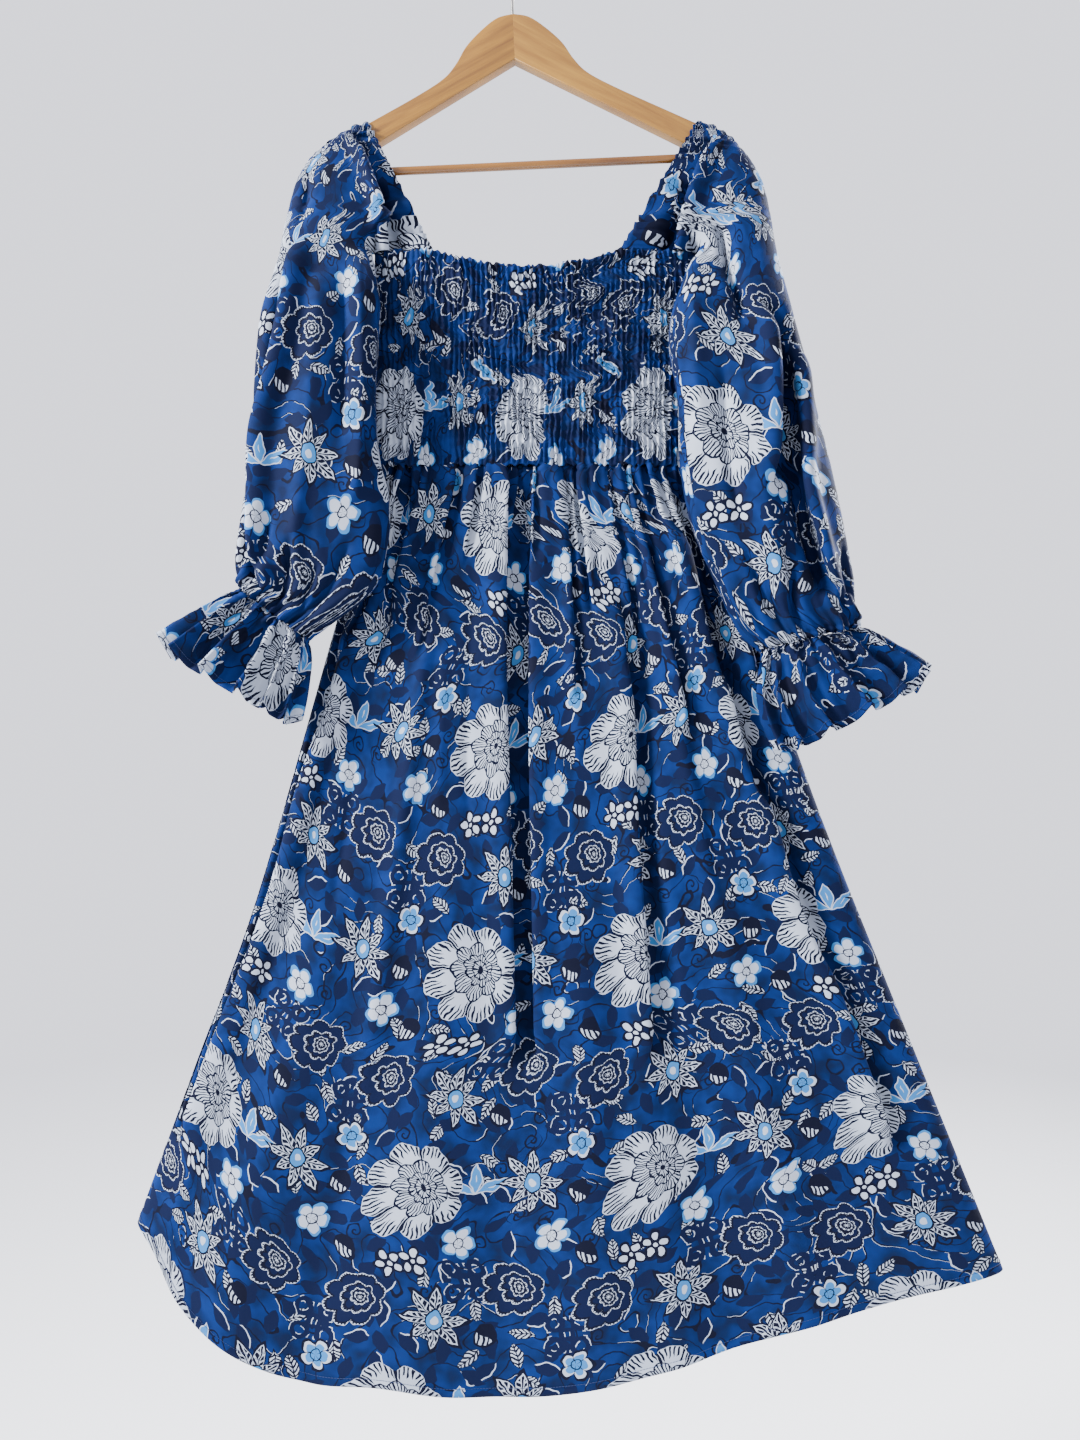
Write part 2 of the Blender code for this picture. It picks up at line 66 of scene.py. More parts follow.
def smooth_rows(keys, places):
    """Rows read from a smooth curve through key rows, at places counted in keys."""
    keys = np.asarray(keys, float)
    places = np.asarray(places, float)
    k = np.clip(places.astype(int), 0, len(keys) - 2)
    t = (places - k).reshape(-1, *[1] * (keys.ndim - 1))
    before, start, end, after = (keys[np.clip(k + j, 0, len(keys) - 1)] for j in (-1, 0, 1, 2))
    slope = end - before
    square = 2 * before - 5 * start + 4 * end - after
    cube = 3 * start - before - 3 * end + after
    return start + 0.5 * (slope * t + square * t ** 2 + cube * t ** 3)


def smooth_line(keys, count):
    """That many rows of the smooth curve, from its first key row to its last."""
    return smooth_rows(keys, np.linspace(0, len(keys) - 1, count))


def shade(red, green, blue):
    """A screen colour from 0 to 255, as the linear colour that a shader takes."""
    parts = [c / 255 for c in (red, green, blue)]
    return tuple(c / 12.92 if c < 0.04 else ((c + 0.055) / 1.055) ** 2.4 for c in parts)


class Tone:
    """One output of a material's nodes. Sums and comparisons of tones add the Math
    nodes that work them out."""

    def __init__(self, tree, socket):
        self.tree = tree
        self.socket = socket

    def node(self, kind, settings, sockets, output=0):
        """Adds a node, sets it up, fills its sockets and gives one of its outputs."""
        made = self.tree.nodes.new("ShaderNode" + kind)
        for name, value in settings.items():
            setattr(made, name, value)
        for name, value in sockets.items():
            if isinstance(value, Tone):
                self.tree.links.new(value.socket, made.inputs[name])
            else:
                made.inputs[name].default_value = value
        return Tone(self.tree, made.outputs[output])

    def math(self, operation, *values):
        return self.node("Math", {"operation": operation}, dict(enumerate((self, *values))))

    def vector(self, operation, *values, output=0):
        return self.node("VectorMath", {"operation": operation}, dict(enumerate((self, *values))), output)

    def __add__(self, other):
        return self.math("ADD", other)

    def __sub__(self, other):
        return self.math("SUBTRACT", other)

    def __rsub__(self, other):
        return self.node("Math", {"operation": "SUBTRACT"}, {0: other, 1: self})

    def __mul__(self, other):
        return self.math("MULTIPLY", other)

    def __truediv__(self, other):
        return self.math("DIVIDE", other)

    def __lt__(self, other):
        return self.math("LESS_THAN", other)

    def __gt__(self, other):
        return self.math("GREATER_THAN", other)

    def __or__(self, other):
        return self.math("MAXIMUM", other)

    def __abs__(self):
        return self.math("ABSOLUTE")

    def times_plus(self, factor, extra):
        return self.math("MULTIPLY_ADD", factor, extra)

    def length(self):
        return self.vector("LENGTH", output=1)

    def across_and_down(self):
        parts = self.node("SeparateXYZ", {}, {0: self})
        return parts, Tone(self.tree, parts.socket.node.outputs[1])

    def noise(self, scale, detail, distortion=0.0, flat=False, output=0):
        """Noise read at this place, or at its X and Y alone."""
        return self.node("TexNoise", {"noise_dimensions": "2D" if flat else "3D"},
                         {"Vector": self, "Scale": scale, "Detail": detail, "Distortion": distortion}, output)

    def turned(self, axis, angle):
        """This vector, turned about one axis."""
        return self.node("VectorRotate", {"rotation_type": axis + "_AXIS"}, {"Vector": self, "Angle": angle})

    def bump(self, strength, distance):
        """A surface raised by this number."""
        return self.node("Bump", {}, {"Strength": strength, "Distance": distance, "Height": self})

    def between(self, first, second):
        """A colour that goes from the first to the second as this number goes from 0 to 1."""
        return self.node("Mix", {"data_type": "RGBA"}, {0: self, 6: (*first, 1.0), 7: (*second, 1.0)}, 2)

    def pick(self, choice, other):
        """This number, or the other one where choice is 1."""
        return self.node("Mix", {"data_type": "FLOAT"}, {0: choice, 2: self, 3: other})

    def pick_way(self, choice, other):
        """This vector, or the other one where choice is 1."""
        return self.node("Mix", {"data_type": "VECTOR"}, {0: choice, 4: self, 5: other}, 1)

    def painted(self, where, colour):
        """This colour with another laid over it."""
        over = colour if isinstance(colour, Tone) else (*colour, 1.0)
        return self.node("Mix", {"data_type": "RGBA"}, {0: where, 6: self, 7: over}, 2)


def new_finish(name, **constants):
    """A material, its shader, and the place on the object as a tone."""
    material = bpy.data.materials.new(name)
    material.use_nodes = True
    tree = material.node_tree
    shader = tree.nodes["Principled BSDF"]
    for socket, value in constants.items():
        shader.inputs[socket.replace("_", " ")].default_value = value
    place = Tone(tree, tree.nodes.new("ShaderNodeTexCoord").outputs["Object"])
    return material, shader, place


def connect(tone, shader, socket):
    tone.tree.links.new(tone.socket, shader.inputs[socket])


def wood_finish(name, light, dark, turn):
    """Close straight grain that runs along the piece, under clear lacquer."""
    material, shader, place = new_finish(name, Roughness=0.34, Coat_Weight=0.25, Coat_Roughness=0.2)
    along = place.turned("Y", turn)
    figure = along.vector("MULTIPLY", WOOD_FIGURE).noise(1.0, 4.0, 0.6)
    pores = along.vector("MULTIPLY", WOOD_PORES).noise(1.0, 2.0)
    grain = (figure - 0.5).times_plus(2.2, 0.5) + (pores - 0.5) * 0.5
    connect(grain.between(dark, light), shader, "Base Color")
    connect(pores.times_plus(0.18, 0.25), shader, "Roughness")
    connect(pores.bump(0.12, 0.0003), shader, "Normal")
    return material


def new_object(name, data):
    """An object that is linked to the scene."""
    made = bpy.data.objects.new(name, data)
    bpy.context.scene.collection.objects.link(made)
    return made


def finish_piece(name, mesh, material, slot, *nodes):
    """Links a piece whose mesh is in place, dresses it, and lets it stand for its solids."""
    mesh.name = name
    if material:
        mesh.materials.append(material)
    piece = new_object(name, mesh)
    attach(piece, "root")
    if nodes:
        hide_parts(*nodes)
    return piece


def mesh_of_curve(name, points, closed, settings):
    """The welded mesh of a curve through points of the XZ plane, rolled as the hanger hangs."""
    curve = bpy.data.curves.new(name, "CURVE")
    for setting, value in settings.items():
        setattr(curve, setting, value)
    spline = curve.splines.new("POLY")
    spline.points.add(len(points) - 1)
    for target, (x, z) in zip(spline.points, points):
        target.co = (x * MM, z * MM, 0, 1)
    spline.use_cyclic_u = closed
    holder = new_object(name, curve)
    depsgraph = bpy.context.evaluated_depsgraph_get()
    mesh = bpy.data.meshes.new_from_object(holder.evaluated_get(depsgraph))
    bpy.data.objects.remove(holder)
    bm = bmesh.new()
    bm.from_mesh(mesh)
    bmesh.ops.remove_doubles(bm, verts=bm.verts, dist=0.00001)
    bmesh.ops.recalc_face_normals(bm, faces=bm.faces)
    bm.to_mesh(mesh)
    bm.free()
    mesh.transform(Matrix.Rotation(-HANGER_ROLL, 4, "Y") @ Matrix.Rotation(pi / 2, 4, "X"))
    mesh.shade_smooth()
    mesh.set_sharp_from_angle(angle=radians(35))
    mesh.materials.clear()
    return mesh


board = {"dimensions": "2D", "fill_mode": "BOTH", "extrude": (WOOD / 2 - WOOD_EASING) * MM,
         "bevel_depth": WOOD_EASING * MM, "bevel_resolution": 3, "offset": -WOOD_EASING * MM}
arm_top = smooth_line(ARM_TOP, TOP_STEPS)
arm_tip = smooth_line(ARM_TIP, TIP_STEPS)
for arm_name, side, light, dark in (
        ("arm_left", -1, shade(132, 90, 14), shade(92, 56, 7)),
        ("arm_right", 1, shade(140, 100, 26), shade(108, 69, 13))):
    outline = [(side * x, z) for x, z in (*arm_top, *arm_tip, NOTCH)]
    arm_mesh = mesh_of_curve(arm_name, outline, True, board)
    arm_wood = wood_finish(f"lacquered_wood_{arm_name}", light, dark, -side * ARM_SLOPE)
    finish_piece(arm_name, arm_mesh, arm_wood, "hanger_wood", f"hanger_{arm_name}")

# Hanger bar
# A turned dowel that trousers can hang over. It is glued into a hole in each arm, and its
# ends are hidden there.
BAR_Z = -211.0
BAR_RADIUS = 4.0
BAR_REACH = 196.0
BAR_STEPS = 40

bar_line = [(x, BAR_Z) for x in np.linspace(-BAR_REACH, BAR_REACH, BAR_STEPS)]
dowel = {"dimensions": "3D", "bevel_depth": BAR_RADIUS * MM, "bevel_resolution": 10, "use_fill_caps": True}
bar_mesh = mesh_of_curve("bar", bar_line, False, dowel)
bar_wood = wood_finish("lacquered_wood_bar", shade(122, 78, 16), shade(80, 45, 8), HANGER_ROLL)
finish_piece("bar", bar_mesh, bar_wood, "hanger_wood", "hanger_bar")

# Hanger hook
# Three millimetre steel wire, bent to a crown and pressed into the joint between the
# arms. Its surface is dull, with fine lines along it from drawing.
WIRE_RADIUS = 1.5
HOOK_RADIUS = 17.0
HOOK_STEM_END = -84.0
HOOK_STEPS = 130
DRAWN_LINES = (2500.0, 2500.0, 60.0)
DARK_STEEL = (0.16, 0.155, 0.15)
PALE_STEEL = (0.36, 0.35, 0.33)


def steel_finish():
    material, shader, place = new_finish("drawn_steel_wire", Metallic=1.0, Roughness=0.35)
    lines = place.vector("MULTIPLY", DRAWN_LINES).noise(1.0, 2.0)
    connect(place.noise(140.0, 3.0).between(DARK_STEEL, PALE_STEEL), shader, "Base Color")
    connect(lines.times_plus(0.3, 0.2), shader, "Roughness")
    return material


turn = [radians(a) for a in range(205, -46, -10)]
crown_radius = HOOK_RADIUS + WIRE_RADIUS
hook_line = [(crown_radius * cos(a), crown_radius * sin(a) - HOOK_RADIUS) for a in turn]
hook_line += [(5.0, -37.5), (1.2, -43.5), (0.0, -52.0), (0.0, -68.0), (0.0, HOOK_STEM_END)]
wire = {"dimensions": "3D", "bevel_depth": WIRE_RADIUS * MM, "bevel_resolution": 5, "use_fill_caps": True}
hook_mesh = mesh_of_curve("hook", smooth_line(hook_line, HOOK_STEPS), False, wire)
finish_piece("hook", hook_mesh, steel_finish(), "hook_steel", "hanger_hook")

# Printed cotton
# Thin plain-weave cotton, block printed. Every repeat holds a pale many-petalled bloom,
# navy roses drawn in white, pointed white flowers, small five-petalled ones, knots,
# buds and leaves, on a blue that the brush left uneven.
REPEAT = (235.0, 222.0)
BRIGHT_BLUE = shade(0, 31, 84)
DEEP_BLUE = shade(0, 14, 46)
INK_BLUE = shade(0, 10, 42)
NAVY = shade(0, 3, 24)
PALE = shade(150, 158, 173)
SKY = shade(46, 102, 154)

BLOOMS = ((62.0, 66.0),)
ROSES = ((166.0, 160.0), (16.0, 178.0))
STAR_FLOWERS = ((178.0, 52.0), (94.0, 190.0))
HALO_FLOWERS = ((122.0, 112.0), (212.0, 106.0))
NAVY_FLOWERS = ((226.0, 16.0),)
PAIRS = ((62.0, 138.0),)
KNOTS = ((122.0, 150.0), (218.0, 206.0))
BUDS = ((10.0, 126.0), (224.0, 64.0), (142.0, 206.0))
LILIES = ((122.0, 62.0),)
LEAF_PITCH = 25.0
BLOCK_WANDER = (5.0, 5.0, 0.0)
WEAVE = (12.0, 12.0, 0.0)


def way_from(spot, places):
    """The way to a spot from the nearest place of a motif, in any repeat."""
    half = (REPEAT[0] / 2, REPEAT[1] / 2, 1.0)
    nearest = None
    for place in places:
        way = spot.vector("SUBTRACT", (*place, 0.0)).vector("WRAP", half, tuple(-h for h in half))
        if nearest is None:
            nearest = way
        else:
            nearest = nearest.pick_way(way.length() < nearest.length(), way)
    return nearest


def angle_of(way):
    x, y = way.across_and_down()
    return y.math("ARCTAN2", x)


def layered_bloom(colour, spot):
    """Rows of round petals round an off-centre heart: pale with navy hatching on the
    large blooms, navy with white outlines on the roses."""
    radius = 50.0
    rose_radius = 31.0
    petals = 8
    rows = 4
    inner = 1 / 8
    arc = 1.5
    heart_shift = (0.26, -0.14, 0.0)
    bloom = way_from(spot, BLOOMS).vector("DIVIDE", (radius,) * 3)
    rose = way_from(spot, ROSES).vector("DIVIDE", (rose_radius, rose_radius * 0.9, rose_radius))
    is_rose = rose.length() < bloom.length()
    way = bloom.pick_way(is_rose, rose)
    off_centre = 1 - way.length()
    heart = off_centre.node("VectorMath", {"operation": "SCALE"}, {0: heart_shift, 3: off_centre})
    way = way.vector("SUBTRACT", heart)
    far = way.length()
    row_place = (far / inner).math("LOGARITHM", (1 / inner) ** (1 / rows)).math("MAXIMUM", 0.0)
    row = row_place.math("FLOOR")
    left_in_row = 1 - row_place.math("FRACT")
    round_place = angle_of(way) * (petals / (2 * pi))
    petal = row.times_plus(0.5, round_place).math("WRAP", 0.5, -0.5)
    next_petal = (petal + 0.5).math("WRAP", 0.5, -0.5)
    from_rim = (petal * petal).times_plus(-arc, left_in_row)
    from_next_rim = (next_petal * next_petal).times_plus(-arc, left_in_row + 1.0)
    beyond = from_rim < 0.0
    rim = from_rim.pick(beyond, from_next_rim) * far
    petal = petal.pick(beyond, next_petal)
    row = row + beyond
    inside = row < rows - 0.5
    inner_rows = row < rows - 1.5
    strokes = (petal * row.times_plus(13.0, 9.0)).math("COSINE")
    hatched = (strokes > 0.15) * (rim > 0.025) * (rim < (petal * 31.0).math("SINE").times_plus(0.08, 0.4))
    outline = ((rim < 0.06) * inner_rows) | (abs(petal) > 0.45)
    pale = colour.painted(1.0, PALE).painted(hatched | outline, NAVY)
    fringe = (strokes > 0.1) * (rim < 0.09) | (rim < 0.03)
    dark = colour.painted(1.0, INK_BLUE).painted(rim < 0.2, NAVY).painted(fringe, PALE)
    return colour.painted(inside, pale.painted(is_rose, dark))


def star_flower(colour, spot):
    """Pointed white petals with navy veins round a sky blue eye."""
    radius = 32.0
    petals = 8
    way = way_from(spot, STAR_FLOWERS)
    far = way.length()
    around = angle_of(way) * (petals / (2 * pi))
    petal = abs(around.math("WRAP", 0.5, -0.5))
    unevenness = (around * 1.7).math("SINE").times_plus(0.14, 0.95)
    reach = far / (petal.times_plus(-1.1 * radius, radius) * unevenness)
    colour = colour.painted(reach < 1.16, NAVY).painted(reach < 1.0, PALE)
    veins = far.times_plus(0.9, petal * -14.0).math("SINE") > -0.5
    colour = colour.painted((reach < 0.94) * ((petal < 0.05) | ((petal > 0.1) * veins)), NAVY)
    x, y = way.across_and_down()
    eye = (x * x).times_plus(1.6, y * y)
    return colour.painted(eye < 120.0, NAVY).painted(eye < 84.0, SKY).painted(eye < 16.0, PALE)


def small_flowers(colour, spot):
    """Five round petals: white in a sky blue halo, or sky blue edged with white on navy."""
    light = way_from(spot, HALO_FLOWERS)
    dark = way_from(spot, NAVY_FLOWERS)
    is_dark = dark.length() < light.length()
    way = light.pick_way(is_dark, dark)
    far = way.length()
    lobe = abs((angle_of(way) * 2.5).math("COSINE")).math("SQRT")
    reach = far / lobe.times_plus(7.5, 7.0)
    halo = colour.painted(1.0, SKY).painted(is_dark, NAVY)
    colour = colour.painted(reach < 1.2, halo).painted(reach < 1.0, PALE)
    colour = colour.painted((reach < 0.78) * is_dark, SKY)
    ring = abs(far - 4.8) < 0.6
    return colour.painted((lobe < 0.42) * (reach < 0.9) | ring, NAVY)


def flower_pair(colour, spot):
    """Two tiny flowers side by side on navy, each with five separate white petals."""
    x, y = way_from(spot, PAIRS).across_and_down()
    side = abs(x) - 12.5
    tilt = y + x * 0.18
    far = (side * side + tilt * tilt).math("SQRT")
    turned = tilt.math("ARCTAN2", side).math("WRAP", pi / 5, -pi / 5)
    out = (turned.math("COSINE") * far - 8.6) * (1 / 4.4)
    across = turned.math("SINE") * far * (1 / 3.3)
    petal = out * out + across * across
    return colour.painted((petal < 2.6) | (far < 9.0), NAVY).painted((petal < 1.0) | (far < 2.0), PALE)


def knot(colour, spot):
    """A four-looped knot of doubled cord in navy, with a broken white edge."""
    x, y = way_from(spot, KNOTS).across_and_down()
    x, y = abs(x), abs(y)
    rail = abs(x - 5.0) | (y - 15.0)
    cross_rail = abs(y - 5.0) | (x - 15.0)
    loop_x, loop_y = x - 12.0, y - 12.0
    loop = abs((loop_x * loop_x + loop_y * loop_y).math("SQRT") - 7.0)
    cord = rail.math("MINIMUM", cross_rail).math("MINIMUM", loop)
    edge = (cord < 3.1) * (x.times_plus(0.5, y * -0.3).math("SINE") > 0.3)
    return colour.painted(edge, PALE).painted(cord < 2.3, INK_BLUE)


def bud(colour, spot):
    """A round navy bud, half of it striped with white."""
    x, y = way_from(spot, BUDS).across_and_down()
    far = (x * x + (y * y) * 0.8).math("SQRT")
    open_half = x.times_plus(-0.5, y) > 1.0
    stripes = (x * 1.4).math("SINE") > -0.1
    return colour.painted(far < 11.0, NAVY).painted((far < 8.8) * open_half * stripes, PALE)


def lily(colour, spot):
    """Pointed sky blue petals with a white edge."""
    x, y = way_from(spot, LILIES).across_and_down()
    side = abs(x)
    for lean, long, wide in ((0.0, 15.0, 6.0), (1.15, 18.0, 5.5)):
        along = y.times_plus(-cos(lean), side * sin(lean)) - long
        aside = abs(y.times_plus(sin(lean), side * cos(lean)))
        leaf = (along * along).times_plus(wide / long ** 2, aside) * (1 / wide)
        colour = colour.painted(leaf < 1.0, PALE).painted(abs(leaf - 0.45) < 0.35, SKY)
    return colour


def foliage(colour, spot):
    """Stems that wander, and one leaf or tendril to each patch of cloth, turned every way:
    plain dark ones, and smaller ones striped with white."""
    stem = (spot.noise(0.02, 0.0, flat=True) * 6.0).math("WRAP", 0.5, -0.5)
    patch = {"Vector": spot, "Scale": 1 / LEAF_PITCH, "Randomness": 0.85}
    cell = spot.node("TexVoronoi", {"voronoi_dimensions": "2D"}, patch, "Position")
    chance, kind = Tone(spot.tree, cell.socket.node.outputs["Color"]).across_and_down()
    colour = colour.painted(abs(stem) < 0.05, NAVY)
    colour = colour.painted((abs(stem - 0.072) < 0.016) * (chance > 0.76), PALE)
    way = spot.vector("SUBTRACT", cell)
    far = way.length()
    along, aside = way.turned("Z", chance * (2 * pi)).across_and_down()
    off_rib = abs(aside)
    leaf = (along * along).times_plus(1 / 27.0, off_rib) * (1 / 6.4)
    is_curl = kind < 0.2
    is_leaf = 1 - is_curl
    striped = kind > 0.78
    body = colour.painted(1.0, INK_BLUE).painted(striped, NAVY)
    colour = colour.painted((leaf < 1.0) * is_leaf, body)
    veins = along.times_plus(1.5, off_rib * -1.3).math("SINE") > 0.0
    white = striped * (leaf < 0.86) * veins * (off_rib > 0.6)
    midrib = (abs(leaf - 1.0) < 0.11) * (aside > 1.2) * is_leaf * (kind < 0.38)
    winding = (far / 5.6 + aside.math("ARCTAN2", along) * 0.16).math("FRACT")
    curl = (winding < 0.3) * (far < 9.0) * is_curl
    return colour.painted(white | midrib, PALE).painted(curl, NAVY)


def printed_cotton(name):
    """The print, read in millimetres on the flat cut, over a fine plain weave."""
    material, shader, place = new_finish(name, Roughness=0.85, Specular_IOR_Level=0.12)
    cut = place.node("UVMap", {"uv_map": "cut"}, {}).vector("MULTIPLY", (1000.0, 1000.0, 0.0))
    spot = cut.noise(0.085, 1.0, flat=True, output=1).vector("MULTIPLY_ADD", BLOCK_WANDER, cut)
    wash = cut.noise(0.035, 2.0, flat=True).times_plus(2.6, -0.8)
    colour = wash.math("MINIMUM", 1.0).math("MAXIMUM", 0.0).between(DEEP_BLUE, BRIGHT_BLUE)
    for motif in (foliage, bud, knot, lily, small_flowers, flower_pair, star_flower, layered_bloom):
        colour = motif(colour, spot)
    connect(colour, shader, "Base Color")

    warp, weft = cut.vector("MULTIPLY", WEAVE).vector("SINE").across_and_down()
    connect((warp * weft).bump(0.2, 0.0002), shader, "Normal")
    return material


cotton = printed_cotton("block_printed_cotton")

# Bodice
# A front and a back rectangle of the cotton, each cut nearly twice as wide as it hangs
# and shirred: rows of elastic thread draw it into narrow upright puckers. The top edge
# is turned and dips at the middle.
CLOTH = 0.5
EDGE = 0.15
BODY_Y = 6.0
SIDE_X = (-136.0, 186.0)
CORNER_X = (-76.3, 109.4)
TOP_Z = -297.0
WAIST_Z = -512.0
NECK_DIP = 16.5
BACK_NECK_DIP = 9.0
FRONT_DEPTH = 14.0
BACK_DEPTH = 12.0
BODICE_CUT = (0.60, 0.22)
FRONT_PUCKERS = 60
BACK_PUCKERS = 54
PUCKER = 3.8
SAMPLES_TO_A_PUCKER = 14
ELASTIC_ROWS = 23


def uneven(seed, rows, columns, down, across):
    """Smooth random values from -1 to 1 on a grid, with that many changes down and across."""
    values = np.random.default_rng(seed).uniform(-1, 1, (down + 1, across + 1))
    return smooth_line(smooth_line(values, rows).T, columns).T


def crown(f):
    """Half section of a flat hollow body: 0 at both side seams, 1 over most of its width."""
    return np.clip(1 - np.abs(2 * f - 1) ** 3, 0, 1) ** (1 / 3)


def body_y(x, front):
    """Depth of the bodice's wall above a place across its width."""
    f = (np.asarray(x, float) - SIDE_X[0]) / (SIDE_X[1] - SIDE_X[0])
    return BODY_Y - FRONT_DEPTH * crown(f) if front else BODY_Y + BACK_DEPTH * crown(f)


def length_to(points, axis=0):
    """The length along a line of points, or along every line of a grid, up to each point."""
    steps = np.linalg.norm(np.diff(points, axis=axis), axis=-1)
    first = np.zeros_like(np.take(steps, [0], axis=axis))
    return np.concatenate((first, np.cumsum(steps, axis=axis)), axis=axis)


def even_columns(rows, count):
    """Each row of points, moved to even steps along its own length."""
    result = np.empty((len(rows), count + 1, 3))
    for r, row in enumerate(rows):
        length = length_to(row)
        wanted = np.linspace(0, length[-1], count + 1)
        for axis in range(3):
            result[r, :, axis] = np.interp(wanted, length, row[:, axis])
    return result


def outward_of(points, closed=False):
    """Normals of a grid of points whose rows run down and whose columns run anticlockwise."""
    if closed:
        wrapped = np.concatenate((points[:, -1:], points, points[:, :1]), axis=1)
        along = wrapped[:, 2:] - wrapped[:, :-2]
    else:
        along = np.gradient(points, axis=1)
    normals = np.cross(np.gradient(points, axis=0), along)
    size = np.linalg.norm(normals, axis=2, keepdims=True)
    return normals / np.maximum(size, 1e-9)


def grid_mesh(name, grids):
    """A mesh of one or more grids of points, each (points, cut places, closed), welded where
    they meet, with the place on the flat cut as its UV map."""
    bm = bmesh.new()
    layer = bm.loops.layers.uv.new("cut")
    for points, cut, closed in grids:
        rows, columns = points.shape[:2]
        verts = [[bm.verts.new(p * MM) for p in row] for row in points]
        for r in range(rows - 1):
            for c in range(columns if closed else columns - 1):
                n = (c + 1) % columns
                face = bm.faces.new((verts[r][c], verts[r + 1][c], verts[r + 1][n], verts[r][n]))
                corners = ((r, c), (r + 1, c), (r + 1, c + 1), (r, c + 1))
                for loop, corner in zip(face.loops, corners):
                    loop[layer].uv = cut[corner]
    if len(grids) > 1:
        bmesh.ops.remove_doubles(bm, verts=bm.verts, dist=0.00002)
    mesh = bpy.data.meshes.new(name)
    bm.to_mesh(mesh)
    bm.free()
    mesh.shade_smooth()
    return mesh


def sewn_cloth(name, grids, node):
    """A thin shell of printed cotton on the form of its solid."""
    piece = finish_piece(name, grid_mesh(name, grids), cotton, "printed_cotton", node)
    shell = piece.modifiers.new("cloth_thickness", "SOLIDIFY")
    shell.thickness = CLOTH * MM
    shell.offset = 0.0


def flat_cut(row_places, column_places, cut, start=(0.0, 0.0)):
    """The place of every grid point on its flat rectangle."""
    down, across = np.meshgrid(row_places, column_places, indexing="ij")
    return np.stack((start[0] + across * cut[0], start[1] + down * cut[1]), axis=2)


def bodice_panel(name, front, puckers, dip, columns, rows, seed, start):
    """A panel with puckers that rows of elastic hold, and a frilled neck edge."""
    samples = puckers * SAMPLES_TO_A_PUCKER
    v = np.linspace(0, 1, rows + 1)[:, None]
    q = np.linspace(0, 1, samples + 1)[None, :]
    x = SIDE_X[0] + (SIDE_X[1] - SIDE_X[0]) * q
    middle = (CORNER_X[0] + CORNER_X[1]) / 2
    half = (CORNER_X[1] - CORNER_X[0]) / 2
    top = TOP_Z - EDGE - dip * np.clip(1 - ((x - middle) / half) ** 2, 0, None)
    z = top + (WAIST_Z + EDGE - top) * v
    grid = (rows + 1, samples + 1)
    wander = uneven(seed, *grid, 9, 30) * 1.5 + uneven(seed + 1, *grid, ELASTIC_ROWS, puckers) * 1.1
    phase = 2 * pi * puckers * q + wander
    strength = 0.75 + 0.55 * uneven(seed + 2, *grid, 12, puckers // 2)
    swell = np.abs(np.sin(pi * v * ELASTIC_ROWS))
    ridges = 0.5 + 0.5 * np.cos(phase) + 0.25 * np.cos(2 * phase + wander)
    height = PUCKER * strength * ridges * (0.55 + 0.45 * swell) - 0.5 * (1 - swell) ** 4
    edge_frill = np.exp(-v * 40) * np.cos(phase * 0.5 + 2 * wander) * 1.4
    edge_frill += np.exp((v - 1) * 60) * np.cos(phase * 0.5 + 2 * wander) * 1.3
    off_side = np.minimum(1, np.minimum(30 * q, 30 * (1 - q)))
    y = body_y(x, front) + np.zeros(grid)
    height *= 1 - 0.55 * np.exp(-((1 - v) * 40) ** 2)
    out = (-1 if front else 1) * (height * off_side + EDGE)
    points = np.stack((x + np.zeros(grid), y + out, z + edge_frill * off_side), axis=2)
    if not front:
        points = points[:, ::-1]
    points = even_columns(points, columns)
    cut = flat_cut(v[:, 0], np.linspace(0, 1, columns + 1), BODICE_CUT, start)
    side = "front" if front else "back"
    sewn_cloth(name, [(points, cut, False)], f"bodice_{side}")


bodice_panel("front_bodice", True, FRONT_PUCKERS, NECK_DIP, columns=396, rows=118, seed=11,
             start=(0.018, 0.118))
bodice_panel("back_bodice", False, BACK_PUCKERS, BACK_NECK_DIP, columns=300, rows=92, seed=31,
             start=(0.09, 0.05))

# Sleeves
# One piece of cotton each, sewn along its top to the bodice's corner and side. Its neck
# edge is shirred and runs up over the hanger, the sleeve hangs full below the armhole,
# and elastic draws it in at the cuff.
LEFT_SHOULDER = (
    (-170.8, -141, 0, 9), (-178, -158, 0, 10.5), (-187, -174, 0, 13), (-198, -190, 0, 16),
    (-211, -202, -1, 19), (-232, -213, -2, 22), (-262, -221, -3, 24),
)
RIGHT_SHOULDER = (
    (-170.2, 186, 0, 9), (-176, 203, 0, 10.5), (-185, 218, 0, 13), (-196, 230, 0, 16),
    (-210, 241, -1, 19), (-232, 252, -2, 22), (-262, 259, -3, 24),
)
LEFT_SLEEVE = (
    (-228, TOP_Z, -138, TOP_Z, -6, 23), (-233, -326, -132, -325, -17, 22),
    (-242, -365, -126, -363, -26, 23), (-247, -410, -128, -405, -28, 24),
    (-249, -460, -130, -455, -30, 24), (-250, -510, -126, -510, -31, 24),
    (-258, -553, -116, -553, -32, 23), (-263, -592, -119, -602, -33, 22),
    (-265, -622, -134, -641, -33, 18), (-261, -638, -198, -685, -33, 10),
)
RIGHT_SLEEVE = (
    (264, TOP_Z, 188, TOP_Z, -6, 23), (268, -326, 178, -325, -17, 22),
    (275, -363, 160, -363, -27, 23), (286, -405, 156, -403, -29, 24),
    (297, -458, 164, -455, -31, 24), (311, -515, 166, -515, -32, 24),
    (324, -575, 177, -575, -33, 23), (334, -632, 201, -632, -33, 21),
    (337, -660, 223, -676, -33, 17), (336, -675, 246, -697, -33, 11),
)
LEFT_NECK_TOP = (-141.0, -170.8)
RIGHT_NECK_TOP = (186.0, -170.2)
NECK_HALF_DEPTH = 9.0
ROUNDING = 2.3
ROUNDED_PART = 0.35
